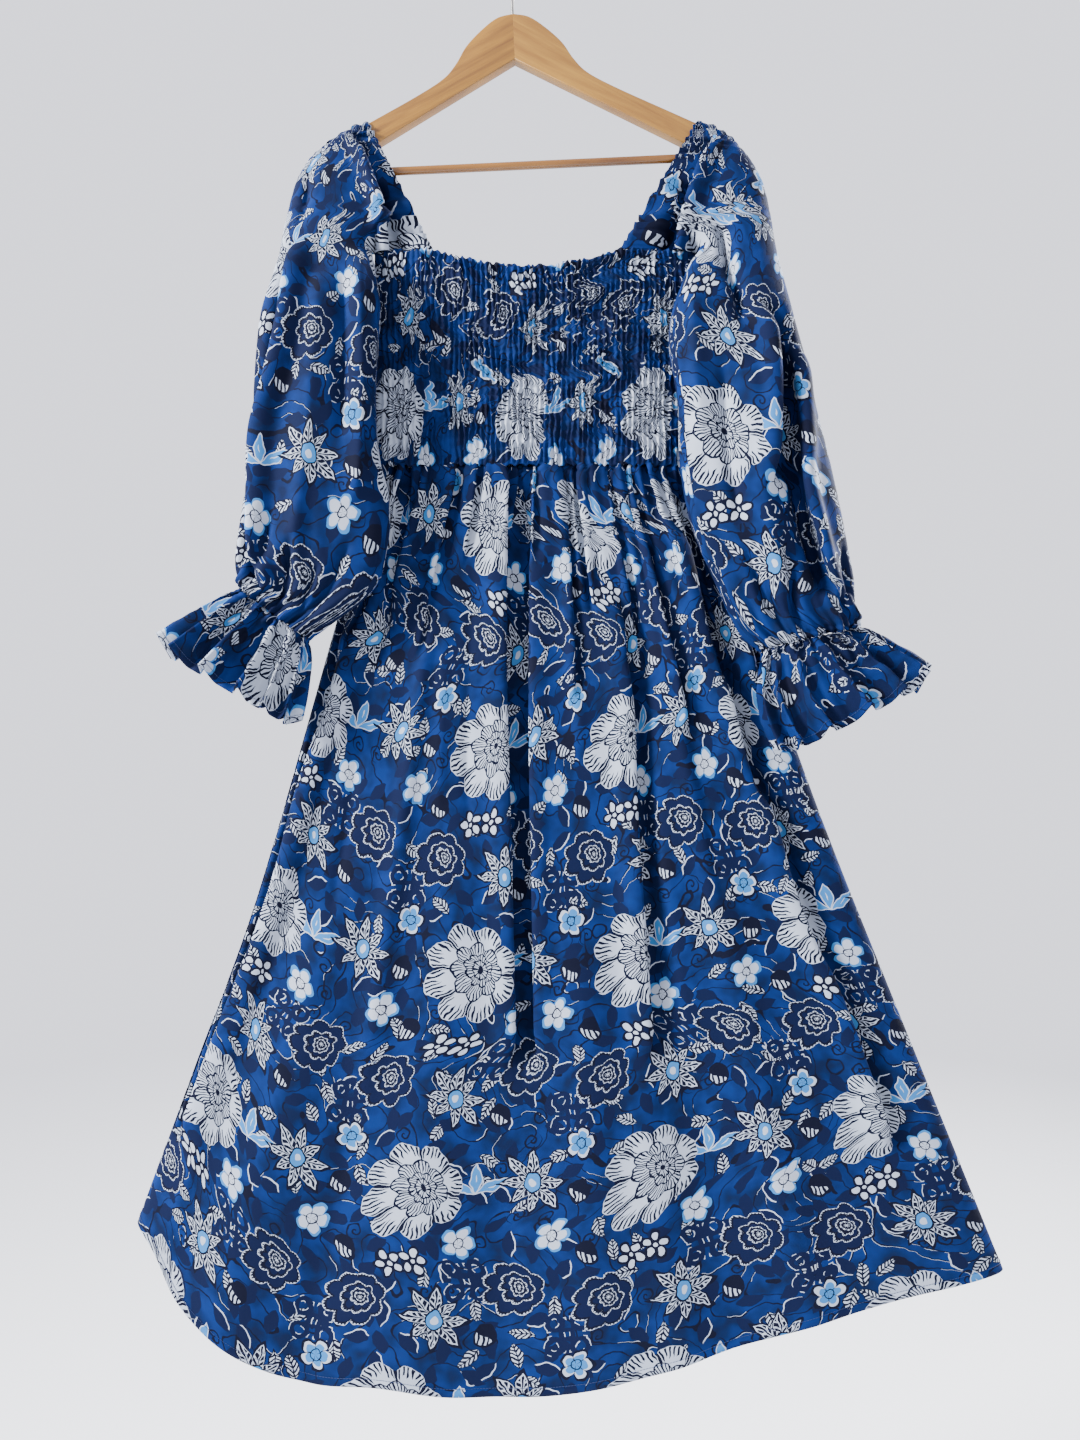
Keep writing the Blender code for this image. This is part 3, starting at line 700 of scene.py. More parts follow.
UNDERARM_SHARE = 4 / 28
SLEEVE_CUT = (0.42, 0.50)
MAIN_COLUMNS = 132
SEAM_COLUMNS = 22
UNDERARM_COLUMNS = 20
DENSE = 5
SHOULDER_ROWS = 40
ARMHOLE_ROWS = 12
ARM_ROWS = 116
SHIRRING_PITCH = 7.0
CUFF_GATHERS = 30

# Creases of the sleeves: kind, points (x, z) down the crease, half width, height, overlap.
# A ridge stands out, a trough sinks in, and a lap lies over the cloth to its right or left.
LEFT_CREASES = (
    ("left_lap", ((-207, -293), (-213, -356), (-217, -387), (-227, -433), (-240, -484), (-243, -535),
                  (-244, -590), (-238, -640)), 6.0, 10.3, 17.2),
    ("right_lap", ((-156, -182), (-148, -204), (-137, -232), (-126, -262), (-121, -300), (-122, -330)),
     4.2, 8.8, 12.6),
    ("trough", ((-196, -215), (-201, -245), (-204, -285)), 4.8, -7.1, 0.0),
    ("ridge", ((-180, -330), (-186, -420), (-196, -540), (-214, -630)), 16.1, 7.1, 0.0),
    ("ridge", ((-146, -300), (-143, -380), (-142, -470), (-146, -560)), 9.5, 8.4, 0.0),
    ("trough", ((-160, -330), (-158, -420), (-160, -500)), 5.7, -5.9, 0.0),
    ("trough", ((-228, -560), (-234, -610), (-243, -645)), 3.8, -9.5, 0.0),
    ("trough", ((-205, -585), (-214, -625), (-224, -662)), 4.3, -10.6, 0.0),
    ("trough", ((-180, -610), (-194, -645), (-207, -672)), 3.8, -8.4, 0.0),
    ("trough", ((-150, -590), (-172, -635), (-196, -672)), 4.8, -7.1, 0.0),
)
RIGHT_CREASES = (
    ("right_lap", ((243, -363), (250, -387), (255, -424), (255, -476), (252, -540)), 6.0, 10.3, 17.2),
    ("left_lap", ((270, -400), (276, -430), (280, -491), (281, -537), (292, -583), (301, -614),
                  (316, -650)), 5.1, 11.5, 13.8),
    ("trough", ((206, -268), (212, -326), (220, -352), (222, -390)), 6.6, -16.7, 0.0),
    ("left_lap", ((204, -186), (193, -210), (182, -238), (172, -268), (163, -300), (160, -330)),
     4.2, 8.8, 12.6),
    ("ridge", ((186, -300), (178, -360), (180, -430), (186, -510)), 11.4, 8.4, 0.0),
    ("ridge", ((232, -420), (236, -500), (250, -590), (270, -660)), 14.2, 7.1, 0.0),
    ("trough", ((205, -420), (208, -500), (222, -580)), 5.7, -5.9, 0.0),
    ("trough", ((226, -600), (240, -640), (258, -680)), 4.3, -9.5, 0.0),
    ("trough", ((262, -590), (270, -640), (279, -684)), 4.3, -10.6, 0.0),
    ("trough", ((244, -628), (256, -660), (268, -688)), 3.8, -8.4, 0.0),
    ("trough", ((322, -590), (324, -640), (320, -672)), 3.8, -7.1, 0.0),
)
CREASE_FADE = 36.0
LAP_DEPTH = 1.35
OVER_ARM_Z = -232.0
OVER_ARM_Y = 8.3
OVER_ARM_REACH = 62.0


def sleeve_ring(row, angles):
    """A closed tilted section between an outer and an inner edge."""
    outer_x, outer_z, inner_x, inner_z, middle_y, half = row
    low, high = sorted(((outer_x, outer_z), (inner_x, inner_z)))
    across = (np.array(high) - low) / 2
    centre = (np.array(high) + low) / 2
    c = np.sign(np.cos(angles)) * np.abs(np.cos(angles)) ** (2 / ROUNDING)
    s = np.sign(np.sin(angles)) * np.abs(np.sin(angles)) ** (2 / ROUNDING)
    return np.stack((centre[0] + across[0] * c, middle_y + half * s, centre[1] + across[1] * c), axis=1)


def shoulder_section(row, neck_top, corner_x):
    """A section of the upper sleeve, from one neck edge round the outside to the other."""
    z, outer_x, middle_y, half = row
    down = (z - neck_top[1]) / (TOP_Z - neck_top[1])
    neck_x = neck_top[0] + (corner_x - neck_top[0]) * down
    neck_front = -NECK_HALF_DEPTH + (body_y(corner_x, True) + NECK_HALF_DEPTH) * down
    neck_back = NECK_HALF_DEPTH + (body_y(corner_x, False) - NECK_HALF_DEPTH) * down
    neck_y = (neck_front + neck_back) / 2
    neck_half = (neck_back - neck_front) / 2
    t = 1 - np.sin(np.linspace(0, pi / 2, 240))
    rounded = half * (1 - np.clip(1 - t / ROUNDED_PART, 0, 1) ** ROUNDING) ** (1 / ROUNDING)
    narrowing = np.sin(pi / 2 * np.clip((t - ROUNDED_PART) / (1 - ROUNDED_PART), 0, 1)) ** 2
    thick = np.where(t < ROUNDED_PART, rounded, half + (neck_half - half) * narrowing)
    x = outer_x + (neck_x - outer_x) * t
    y = middle_y + (neck_y - middle_y) * t
    front = np.stack((x, y - thick, np.full_like(x, z)), axis=1)
    back = np.stack((x, y + thick, np.full_like(x, z)), axis=1)
    return np.concatenate((back, front[-2::-1]) if outer_x < 0 else (front, back[-2::-1]))


def creased(points, creases, facing=-1.0):
    """Points moved into the creases that lie on the side that faces -Y, or +Y."""
    outward = outward_of(points)
    weight = np.clip(outward[:, :, 1] * facing * 2.0, 0, 1)
    x, z = points[:, :, 0], points[:, :, 2]
    shift = np.zeros_like(x)
    out = np.zeros_like(x)
    for kind, path, half_width, height, overlap in creases:
        path_x, path_z = smooth_line(path, 10 * len(path)).T
        place = np.interp(-z, -path_z, path_x)
        into = np.clip((path_z[0] - z) / CREASE_FADE, 0, 1)
        out_of = np.clip((z - path_z[-1]) / CREASE_FADE, 0, 1)
        strength = weight * np.sin(pi / 2 * into) * np.sin(pi / 2 * out_of)
        if kind.endswith("lap"):
            side = -1 if kind == "right_lap" else 1
            t = side * (place - x) / half_width
            shift += side * overlap * t * np.exp(-t ** 2) * strength
            out -= height * 1.6 * t * np.exp(-t ** 2 / 2.6) * strength
            out -= height * LAP_DEPTH * (1 - np.exp(-t ** 2)) * np.exp(-t ** 2 / 12) * (t > 0) * strength
        else:
            out += height * np.exp(-np.abs((x - place) / half_width) ** 1.5) * strength
    moved = points + outward * out[:, :, None]
    moved[:, :, 0] += shift
    return moved


def cuff_gathers(points, distance, height, reach, seed):
    """Small radial gathers that the elastic holds, strongest at the seam."""
    rows, columns = points.shape[:2]
    turns = 2 * pi * CUFF_GATHERS * np.linspace(0, 1, columns, endpoint=False)[None, :]
    wander = uneven(seed, rows, columns, 4, 16) * 1.3
    size = height * (1 + 0.5 * uneven(seed + 1, rows, columns, 3, 20))
    gather = size * np.cos(turns + wander) * np.exp(-distance / reach)
    gather += 1.2 * size * np.cos(0.4 * turns + 2 * wander) * np.exp(-distance / (2.4 * reach))
    groove = -1.3 * np.exp(-((distance - 7.0) / 1.5) ** 2) - 1.6 * np.exp(-((distance - 1.0) / 1.5) ** 2)
    return points + outward_of(points, True) * (gather + groove)[:, :, None]


def sleeve(name, side, shoulder, rings, neck_top, creases, seed, start):
    """A sleeve made of two grids, above and below the armhole's height, welded there."""
    left = side == 0
    corner_x, side_x = CORNER_X[side], SIDE_X[side]
    half_underarm = pi * UNDERARM_SHARE
    begin = half_underarm + (0 if left else pi)
    main_count = MAIN_COLUMNS * DENSE
    seam_count = SEAM_COLUMNS * DENSE
    under_count = UNDERARM_COLUMNS * DENSE
    main_angles = begin + np.linspace(0, 2 * pi * (1 - UNDERARM_SHARE), main_count + 1)
    under_angles = begin - np.linspace(0, 2 * pi * UNDERARM_SHARE, under_count + 1)[::-1]

    # the upper part, from the hanger to the armhole seam
    total = main_count + 2 * seam_count
    upper = [even_columns([shoulder_section(row, neck_top, corner_x)], total)[0] for row in shoulder]
    ring = sleeve_ring(rings[0], main_angles)
    seam_x = np.linspace(corner_x, side_x, seam_count)
    near = np.stack((seam_x, body_y(seam_x, not left), np.full_like(seam_x, TOP_Z)), axis=1)
    far = np.stack((seam_x, body_y(seam_x, left), np.full_like(seam_x, TOP_Z)), axis=1)[::-1]
    upper.append(np.concatenate((near, ring, far)))
    lower = [ring] + [sleeve_ring(row, main_angles) for row in rings[1:]]
    main = slice(seam_count, seam_count + main_count + 1)
    main_keys = np.array([row[main] for row in upper[:-1]] + lower)
    seam_keys = [np.array([row[part] for row in upper])
                 for part in (slice(0, seam_count + 1), slice(seam_count + main_count, None))]
    under_keys = np.array([sleeve_ring(row, under_angles) for row in rings])

    last_upper = len(shoulder)
    upper_places = np.concatenate((np.linspace(0, last_upper - 1, SHOULDER_ROWS)[:-1],
                                   np.linspace(last_upper - 1, last_upper, ARMHOLE_ROWS)))
    lower_places = np.linspace(last_upper, len(main_keys) - 1, ARM_ROWS)
    main_rows = smooth_rows(main_keys, np.concatenate((upper_places, lower_places[1:])))
    split = len(upper_places)
    near_rows, far_rows = (smooth_rows(keys, upper_places) for keys in seam_keys)
    under_rows = smooth_rows(under_keys, lower_places - last_upper)

    upper_rows = np.concatenate((near_rows[:, :-1], main_rows[:split], far_rows[:, 1:]), axis=1)
    lower_rows = np.concatenate((main_rows[split - 1:], under_rows[:, 1:]), axis=1)
    upper_rows = creased(upper_rows, creases)
    lower_rows = creased(lower_rows, creases)
    seam_points = (upper_rows[-1, main] + lower_rows[0, :main_count + 1]) / 2
    upper_rows[-1, main] = seam_points
    lower_rows[0, :main_count + 1] = seam_points
    near_part = even_columns(upper_rows[:, :seam_count + 1], SEAM_COLUMNS)
    main_part = even_columns(upper_rows[:, main], MAIN_COLUMNS)
    far_part = even_columns(upper_rows[:, seam_count + main_count:], SEAM_COLUMNS)
    upper_grid = np.concatenate((near_part[:, :-1], main_part, far_part[:, 1:]), axis=1)
    main_part = even_columns(lower_rows[:, :main_count + 1], MAIN_COLUMNS)
    under_part = even_columns(lower_rows[:, main_count:], UNDERARM_COLUMNS)
    lower_grid = np.concatenate((main_part[:, :-1], under_part[:, :-1]), axis=1)

    # shirring along both neck edges, and gathers at the cuff
    columns = upper_grid.shape[1]
    rows_down = len(upper_grid)
    from_near = length_to(upper_grid, axis=1)
    from_edge = np.minimum(from_near, from_near[:, -1:] - from_near)
    down = length_to(upper_grid[:, 0])
    phase = 2 * pi * down[:, None] / SHIRRING_PITCH + 1.2 * uneven(seed, rows_down, columns, 9, 6)
    size = 1 + 0.5 * uneven(seed + 3, rows_down, columns, 12, 6)
    pucker = size * np.cos(phase) * (2.4 * np.exp(-from_edge / 22.0) + 1.3 * np.exp(-from_edge / 60.0))
    keep = np.minimum(1, (down[-1] - down) / 10)[:, None] * np.minimum(1, down / 4)[:, None]
    upper_grid += outward_of(upper_grid) * (pucker * keep)[:, :, None]
    upper_grid[:, :, 0] += (1 if left else -1) * np.cos(phase) * np.exp(-from_edge / 5.0) * keep
    over_arm = upper_grid[:, :, 2] > OVER_ARM_Z
    facing = np.where(outward_of(upper_grid)[:, :, 1] < 0, -1, 1)
    clear = facing * np.maximum(facing * upper_grid[:, :, 1], OVER_ARM_Y)
    near_edge = over_arm & (from_edge < OVER_ARM_REACH)
    upper_grid[:, :, 1] = np.where(near_edge, clear, upper_grid[:, :, 1])
    to_cuff = length_to(lower_grid[::-1])[::-1]
    lower_grid = cuff_gathers(lower_grid, to_cuff, height=2.5, reach=24.0, seed=seed + 7)

    unit = SLEEVE_CUT[0] / (MAIN_COLUMNS + UNDERARM_COLUMNS)
    lengths = length_to(main_rows[:, main_count // 2]) * MM
    upper_u = start[0] + unit * (np.arange(columns) - SEAM_COLUMNS)
    lower_u = start[0] + unit * np.arange(MAIN_COLUMNS + UNDERARM_COLUMNS + 1)
    grids = []
    for grid, us, vs, closed in ((upper_grid, upper_u, lengths[:split], False),
                                 (lower_grid, lower_u, lengths[split - 1:], True)):
        v_grid, u_grid = np.meshgrid(start[1] + vs, us, indexing="ij")
        grids.append((grid, np.stack((u_grid, v_grid), axis=2), closed))
    word = "left" if left else "right"
    sewn_cloth(name, grids, f"sleeve_{word}")


sleeve("left_sleeve", 0, LEFT_SHOULDER, LEFT_SLEEVE, LEFT_NECK_TOP, LEFT_CREASES, seed=51,
       start=(0.12, 0.108))
sleeve("right_sleeve", 1, RIGHT_SHOULDER, RIGHT_SLEEVE, RIGHT_NECK_TOP, RIGHT_CREASES, seed=71,
       start=(0.03, 0.14))

# Flounces
# A straight strip of the cotton, gathered into each cuff. It flares and stands in deep
# uneven waves, and its free edge has a narrow turned hem.
LEFT_FLOUNCE = (
    LEFT_SLEEVE[-1], (-281, -650, -196, -703, -32, 13), (-300, -663, -198, -723, -32, 17),
    (-318, -677, -202, -745, -31, 20), (-336, -692, -208, -767, -31, 22),
)
RIGHT_FLOUNCE = (
    RIGHT_SLEEVE[-1], (353, -683, 246, -720, -33, 14), (371, -696, 248, -746, -32, 17),
    (389, -709, 255, -771, -32, 20), (406, -723, 267, -795, -31, 22),
)
FLOUNCE_CUT = (0.55, 0.09)
FLOUNCE_WAVES = 13
FLOUNCE_WAVE = 11.5
FLOUNCE_LIFT = 5.0
FLOUNCE_COLUMNS = 252
FLOUNCE_ROWS = 36


def flounce(name, word, rings, seed, start):
    """A flared and waved ring of cloth. Its points are returned for the hem's stitches."""
    angles = np.linspace(0, 2 * pi, FLOUNCE_COLUMNS * 4 + 1)
    keys = np.array([sleeve_ring(row, angles) for row in rings])
    points = smooth_line(keys, FLOUNCE_ROWS + 1)
    v = np.linspace(0, 1, FLOUNCE_ROWS + 1)[:, None]
    lean = 0.5 * np.sin(2 * angles + seed) + 0.35 * np.sin(3 * angles + 2 * seed)
    turns = FLOUNCE_WAVES * angles + 1.6 * lean
    turns = turns + 0.55 * np.sin(turns)
    wave = (np.cos(turns) + 0.3 * np.cos(2 * turns) - 0.4)[None, :]
    size = FLOUNCE_WAVE * (0.12 + 0.88 * v ** 0.8) * (0.9 + 0.3 * np.sin(2 * angles + 3 * seed))[None, :]
    minor = 1.3 * (0.3 + 0.7 * v) * np.sin(29 * angles + 2 * lean)[None, :]
    points = points + outward_of(points) * (size * wave + minor)[:, :, None]
    points[:, :, 2] += FLOUNCE_LIFT * v * v * wave
    points = even_columns(points, FLOUNCE_COLUMNS)[:, :-1]
    points = cuff_gathers(points, length_to(points), height=2.2, reach=18.0, seed=seed * 10 + 3)
    cut = flat_cut(v[:, 0], np.linspace(0, 1, FLOUNCE_COLUMNS + 1), FLOUNCE_CUT, start)
    sewn_cloth(name, [(points, cut, True)], f"flounce_{word}")
    return points


left_frill = flounce("left_flounce", "left", LEFT_FLOUNCE, seed=2, start=(0.05, 0.02))
right_frill = flounce("right_flounce", "right", RIGHT_FLOUNCE, seed=5, start=(0.02, 0.16))

# Skirt
# A front and a back rectangle of the cotton, gathered into the waist seam and sewn
# together at the sides. It fans out flat below the gathers, with a few pleats where the
# cloth laps over itself, and its lower edge has a turned and stitched hem.
LEFT_SIDE = ((-136, -512), (-156, -600), (-180, -686), (-255, -945), (-316, -1111), (-373, -1266))
RIGHT_SIDE = ((186, -512), (215, -600), (248, -686), (317, -875), (386, -1048), (494, -1314))
HEM = ((-373, -1266), (-352, -1292), (-324, -1342), (-267, -1389), (-197, -1415), (-124, -1417),
       (-50, -1428), (52, -1424), (158, -1400), (277, -1365), (380, -1336), (494, -1314))
SKIRT_CUT = (0.86, 0.93)
FRONT_HANG = ((0.0, 14.0), (0.1, 16.0), (0.3, 20.0), (0.6, 26.0), (1.0, 30.0))
BACK_HANG = ((0.0, 12.0), (0.3, 12.0), (1.0, 14.0))
TURNED_HEM = 8.0
SKIRT_LENGTH = 900.0
SKIRT_SAMPLES = 1500
WAIST_GATHERS = 34

# Soft folds, as fractions of the width and length: at the waist, at the hem, starts, ends,
# half width, height.
FRONT_FOLDS = (
    (0.050, 0.040, 0.12, 1.02, 0.018, 5.2), (0.140, 0.150, 0.45, 1.10, 0.045, 6.5),
    (0.235, 0.260, 0.02, 0.75, 0.020, 5.2), (0.340, 0.350, 0.40, 1.10, 0.050, 5.9),
    (0.550, 0.560, 0.45, 1.10, 0.040, 6.5), (0.700, 0.700, 0.45, 1.10, 0.040, -6.5),
    (0.780, 0.790, 0.06, 1.05, 0.025, 5.2), (0.620, 0.640, 0.60, 1.10, 0.030, 3.9),
    (0.440, 0.450, 0.70, 1.10, 0.030, -3.9), (0.250, 0.245, 0.62, 1.10, 0.022, -3.9),
)
BACK_FOLDS = (
    (0.090, 0.080, 0.15, 1.10, 0.025, 6.5), (0.240, 0.200, 0.05, 0.90, 0.022, 7.2),
    (0.330, 0.320, 0.30, 1.10, 0.040, -4.5), (0.460, 0.430, 0.02, 0.80, 0.022, 7.8),
    (0.580, 0.590, 0.40, 1.10, 0.045, 5.9), (0.700, 0.740, 0.10, 1.00, 0.024, 7.2),
    (0.880, 0.900, 0.15, 1.10, 0.028, 6.5),
)
# Gathers at the waist: place across in mm, half width, depth, length down the skirt.
FRONT_GATHERS = (
    (-115, 4.0, 5.0, 90), (-101, 3.5, 6.5, 150), (-80, 4.0, 4.5, 80), (-51, 5.0, 4.0, 110),
    (-30, 4.0, 3.0, 60), (-8, 4.0, 3.0, 50), (27, 4.0, 3.0, 60), (50, 5.0, 5.5, 130),
    (66, 3.5, 4.5, 90), (93, 4.5, 5.0, 120), (114, 4.0, 5.5, 150), (133, 4.0, 3.5, 80),
    (148, 4.5, 5.0, 110), (167, 4.0, 4.5, 120),
)
BACK_GATHERS = (
    (-112, 4.0, 4.0, 90), (-84, 4.5, 4.5, 120), (-62, 4.0, 4.0, 80), (-34, 5.0, 5.0, 140),
    (-12, 4.0, 3.5, 70), (16, 4.5, 4.5, 110), (40, 4.0, 4.0, 90), (68, 5.0, 5.0, 150),
    (96, 4.0, 3.5, 80), (122, 4.5, 4.5, 120), (150, 4.0, 4.5, 100),
)
# Pleats and long creases, with points in mm, as in the sleeves' tables.
FRONT_CREASES = (
    ("right_lap", ((-4, -500), (-7, -695), (-2, -895), (3, -1105)), 7.0, 4.5, 20.0),
    ("left_lap", ((23, -500), (21, -745), (24, -945), (27, -1105)), 6.0, 3.5, 14.0),
    ("trough", ((9, -500), (7, -745), (11, -945), (15, -1130)), 12.0, -6.5, 0.0),
    ("right_lap", ((108, -640), (111, -694), (119, -759), (122, -849), (128, -945), (133, -1020),
                   (139, -1100)), 7.0, 5.5, 20.0),
    ("right_lap", ((168, -560), (196, -692), (215, -743), (235, -822), (256, -859), (278, -936),
                   (300, -991), (316, -1020), (338, -1076), (356, -1127), (380, -1190)), 8.0, 6.5, 22.0),
    ("left_lap", ((-160, -660), (-175, -735), (-184, -766), (-207, -835), (-225, -905), (-248, -975),
                  (-290, -1080), (-330, -1190)), 7.0, 5.0, 16.0),
    ("trough", ((172, -515), (192, -600), (210, -692), (229, -743), (250, -822), (272, -860),
                (294, -936), (318, -991)), 9.0, -8.0, 0.0),
    ("trough", ((122, -660), (128, -759), (134, -849), (142, -945), (150, -1040)), 8.0, -5.0, 0.0),
    ("trough", ((-101, -510), (-110, -580), (-122, -650), (-132, -720)), 5.0, -7.0, 0.0),
    ("ridge", ((-60, -600), (-66, -720), (-70, -860)), 9.0, 3.0, 0.0),
    ("ridge", ((60, -590), (66, -700), (70, -800)), 8.0, 3.0, 0.0),
    ("trough", ((-36, -620), (-42, -760), (-40, -880)), 6.0, -2.5, 0.0),
    ("trough", ((-120, -640), (-150, -800), (-176, -960)), 8.0, -3.0, 0.0),
    ("trough", ((160, -640), (180, -780), (214, -960)), 8.0, -3.0, 0.0),
    ("ridge", ((150, -880), (168, -1000), (186, -1120)), 12.0, 2.5, 0.0),
)
BACK_CREASES = (
    ("left_lap", ((-70, -560), (-84, -760), (-100, -960), (-120, -1130)), 7.0, 3.6, 18.0),
    ("right_lap", ((60, -580), (78, -760), (92, -940), (110, -1100)), 7.0, 3.6, 18.0),
    ("left_lap", ((150, -640), (190, -820), (236, -1000), (270, -1120)), 7.0, 3.6, 16.0),
    ("trough", ((-10, -560), (-8, -760), (-4, -940)), 8.0, -3.5, 0.0),
    ("ridge", ((-150, -700), (-190, -880), (-236, -1060)), 10.0, 3.0, 0.0),
)


def waist_tucks(gathers):
    """A small fold of the cloth over itself at each gather, leaning out as the skirt fans out."""
    middle = (SIDE_X[0] + SIDE_X[1]) / 2
    tucks = []
    for count, (place, half_width, depth, length) in enumerate(gathers):
        kind = "left_lap" if count % 3 == 2 else "right_lap"
        lean = (place - middle) * 0.0026
        path = tuple((place + lean * down, WAIST_Z + 14 - down) for down in (0, 0.7 * length, 1.9 * length))
        tucks.append((kind, path, 0.6 * half_width, 0.7 * depth, 1.8 * half_width))
    return tuple(tucks)


def even_line(points, places):
    """Places from 0 to 1 along the length of a smooth line through points."""
    fine = smooth_line(points, 40 * len(points))
    length = length_to(fine)
    return np.stack([np.interp(np.asarray(places) * length[-1], length, fine[:, k]) for k in (0, 1)], axis=1)


def skirt_panel(name, front, hang, folds, gathers, creases, columns, rows, seed, start):
    """A panel between its side lines, the waist and the hem. Its points are returned too."""
    q = np.linspace(0, 1, SKIRT_SAMPLES + 1)
    hem_share = TURNED_HEM / SKIRT_LENGTH
    v = np.concatenate(((0.0, 0.0012), np.linspace(0.0024, 0.12, rows // 5)[:-1],
                        np.linspace(0.12, 1 - 1.3 * hem_share, rows)[:-1],
                        1 - hem_share * np.array((1.3, 1.15, 1.0, 0.85, 0.4, 0.0))))
    left, right = even_line(LEFT_SIDE, v), even_line(RIGHT_SIDE, v)
    hem = even_line(HEM, q)
    waist_x = SIDE_X[0] + (SIDE_X[1] - SIDE_X[0]) * q
    v2 = v[:, None]
    grid = (len(v), len(q))
    straight_x = waist_x * (1 - v2) + (hem[0, 0] + (hem[-1, 0] - hem[0, 0]) * q) * v2
    straight_z = WAIST_Z * (1 - v2) + (hem[0, 1] + (hem[-1, 1] - hem[0, 1]) * q) * v2
    x = waist_x * (1 - v2) + hem[:, 0] * v2 + left[:, :1] * (1 - q) + right[:, :1] * q - straight_x
    z = WAIST_Z * (1 - v2) + hem[:, 1] * v2 + left[:, 1:] * (1 - q) + right[:, 1:] * q - straight_z

    off_side = np.minimum(1, np.minimum(16 * q, 16 * (1 - q)))
    out = np.interp(v2, *zip(*hang)) * crown(q)
    relief = np.zeros(grid)
    for at_waist, at_hem, begins, ends, half_width, height in folds:
        swing = np.clip((v2 - begins) / 0.15, 0, 1) * np.clip((ends - v2) / 0.15, 0, 1)
        relief += height * swing * np.exp(-((q - at_waist - (at_hem - at_waist) * v2) / half_width) ** 2)
    down = v2 * SKIRT_LENGTH
    for place, half_width, depth, length in gathers:
        fade = np.clip(1 - down / (1.5 * length), 0, 1)
        spread = half_width * (0.6 + down / 200)
        relief -= 1.5 * depth * fade * np.exp(-np.abs((waist_x - place) / spread) ** 1.4)
    wander = 1.6 * uneven(seed, *grid, 6, 24)
    small = np.cos(2 * pi * WAIST_GATHERS * q + wander) * np.exp(-down / 42.0)
    relief += (1.5 + 0.6 * uneven(seed + 1, *grid, 3, 30)) * small
    relief += 0.9 * uneven(seed + 2, *grid, 14, 18) * np.clip(down / 120, 0, 1)
    to_hem = (1 - v2) * SKIRT_LENGTH
    relief += 0.45 * (to_hem < TURNED_HEM) - 0.5 * np.exp(-((to_hem - TURNED_HEM) / 0.8) ** 2)
    relief += 1.6 * np.exp(-(down / 14.0) ** 2) - 2.0 * np.exp(-(down / 1.5) ** 2)
    z = z + 2.2 * np.exp(-(down / 1.5) ** 2)
    y = BODY_Y + (-1 if front else 1) * (EDGE + out + off_side * relief)
    points = np.stack((x, y, z - EDGE), axis=2)
    if not front:
        points = points[:, ::-1]
    points = creased(points, creases + waist_tucks(gathers), -1.0 if front else 1.0)
    points = even_columns(points, columns)
    cut = flat_cut(v, np.linspace(0, 1, columns + 1), SKIRT_CUT, start)
    side = "front" if front else "back"
    sewn_cloth(name, [(points, cut, False)], f"skirt_{side}")
    return points


front_skirt = skirt_panel("front_skirt", True, FRONT_HANG, FRONT_FOLDS, FRONT_GATHERS, FRONT_CREASES,
                          columns=330, rows=118, seed=91, start=(0.0, 0.0))
back_skirt = skirt_panel("back_skirt", False, BACK_HANG, BACK_FOLDS, BACK_GATHERS, BACK_CREASES,
                         columns=260, rows=90, seed=95, start=(0.11, 0.07))

# Hem stitching
# Blue cotton thread in a straight lockstitch that holds the turned hems of the skirt and
# of both flounces.
STITCHED_ROW = -4
STITCH_SPACING = 3.0
STITCH_LENGTH = 2.3
THREAD = 0.45
THREAD_COLOUR = shade(8, 34, 84)


def thread_finish():
    """Twisted cotton thread, with its plies slanting across every stitch."""
    material, shader, place = new_finish("blue_cotton_thread", Roughness=0.7)
    plies = place.node("TexWave", {"bands_direction": "DIAGONAL"}, {"Vector": place, "Scale": 900.0})
    connect((plies * 0.5).between(THREAD_COLOUR, NAVY), shader, "Base Color")
    connect(plies.bump(0.3, 0.0001), shader, "Normal")
    return material


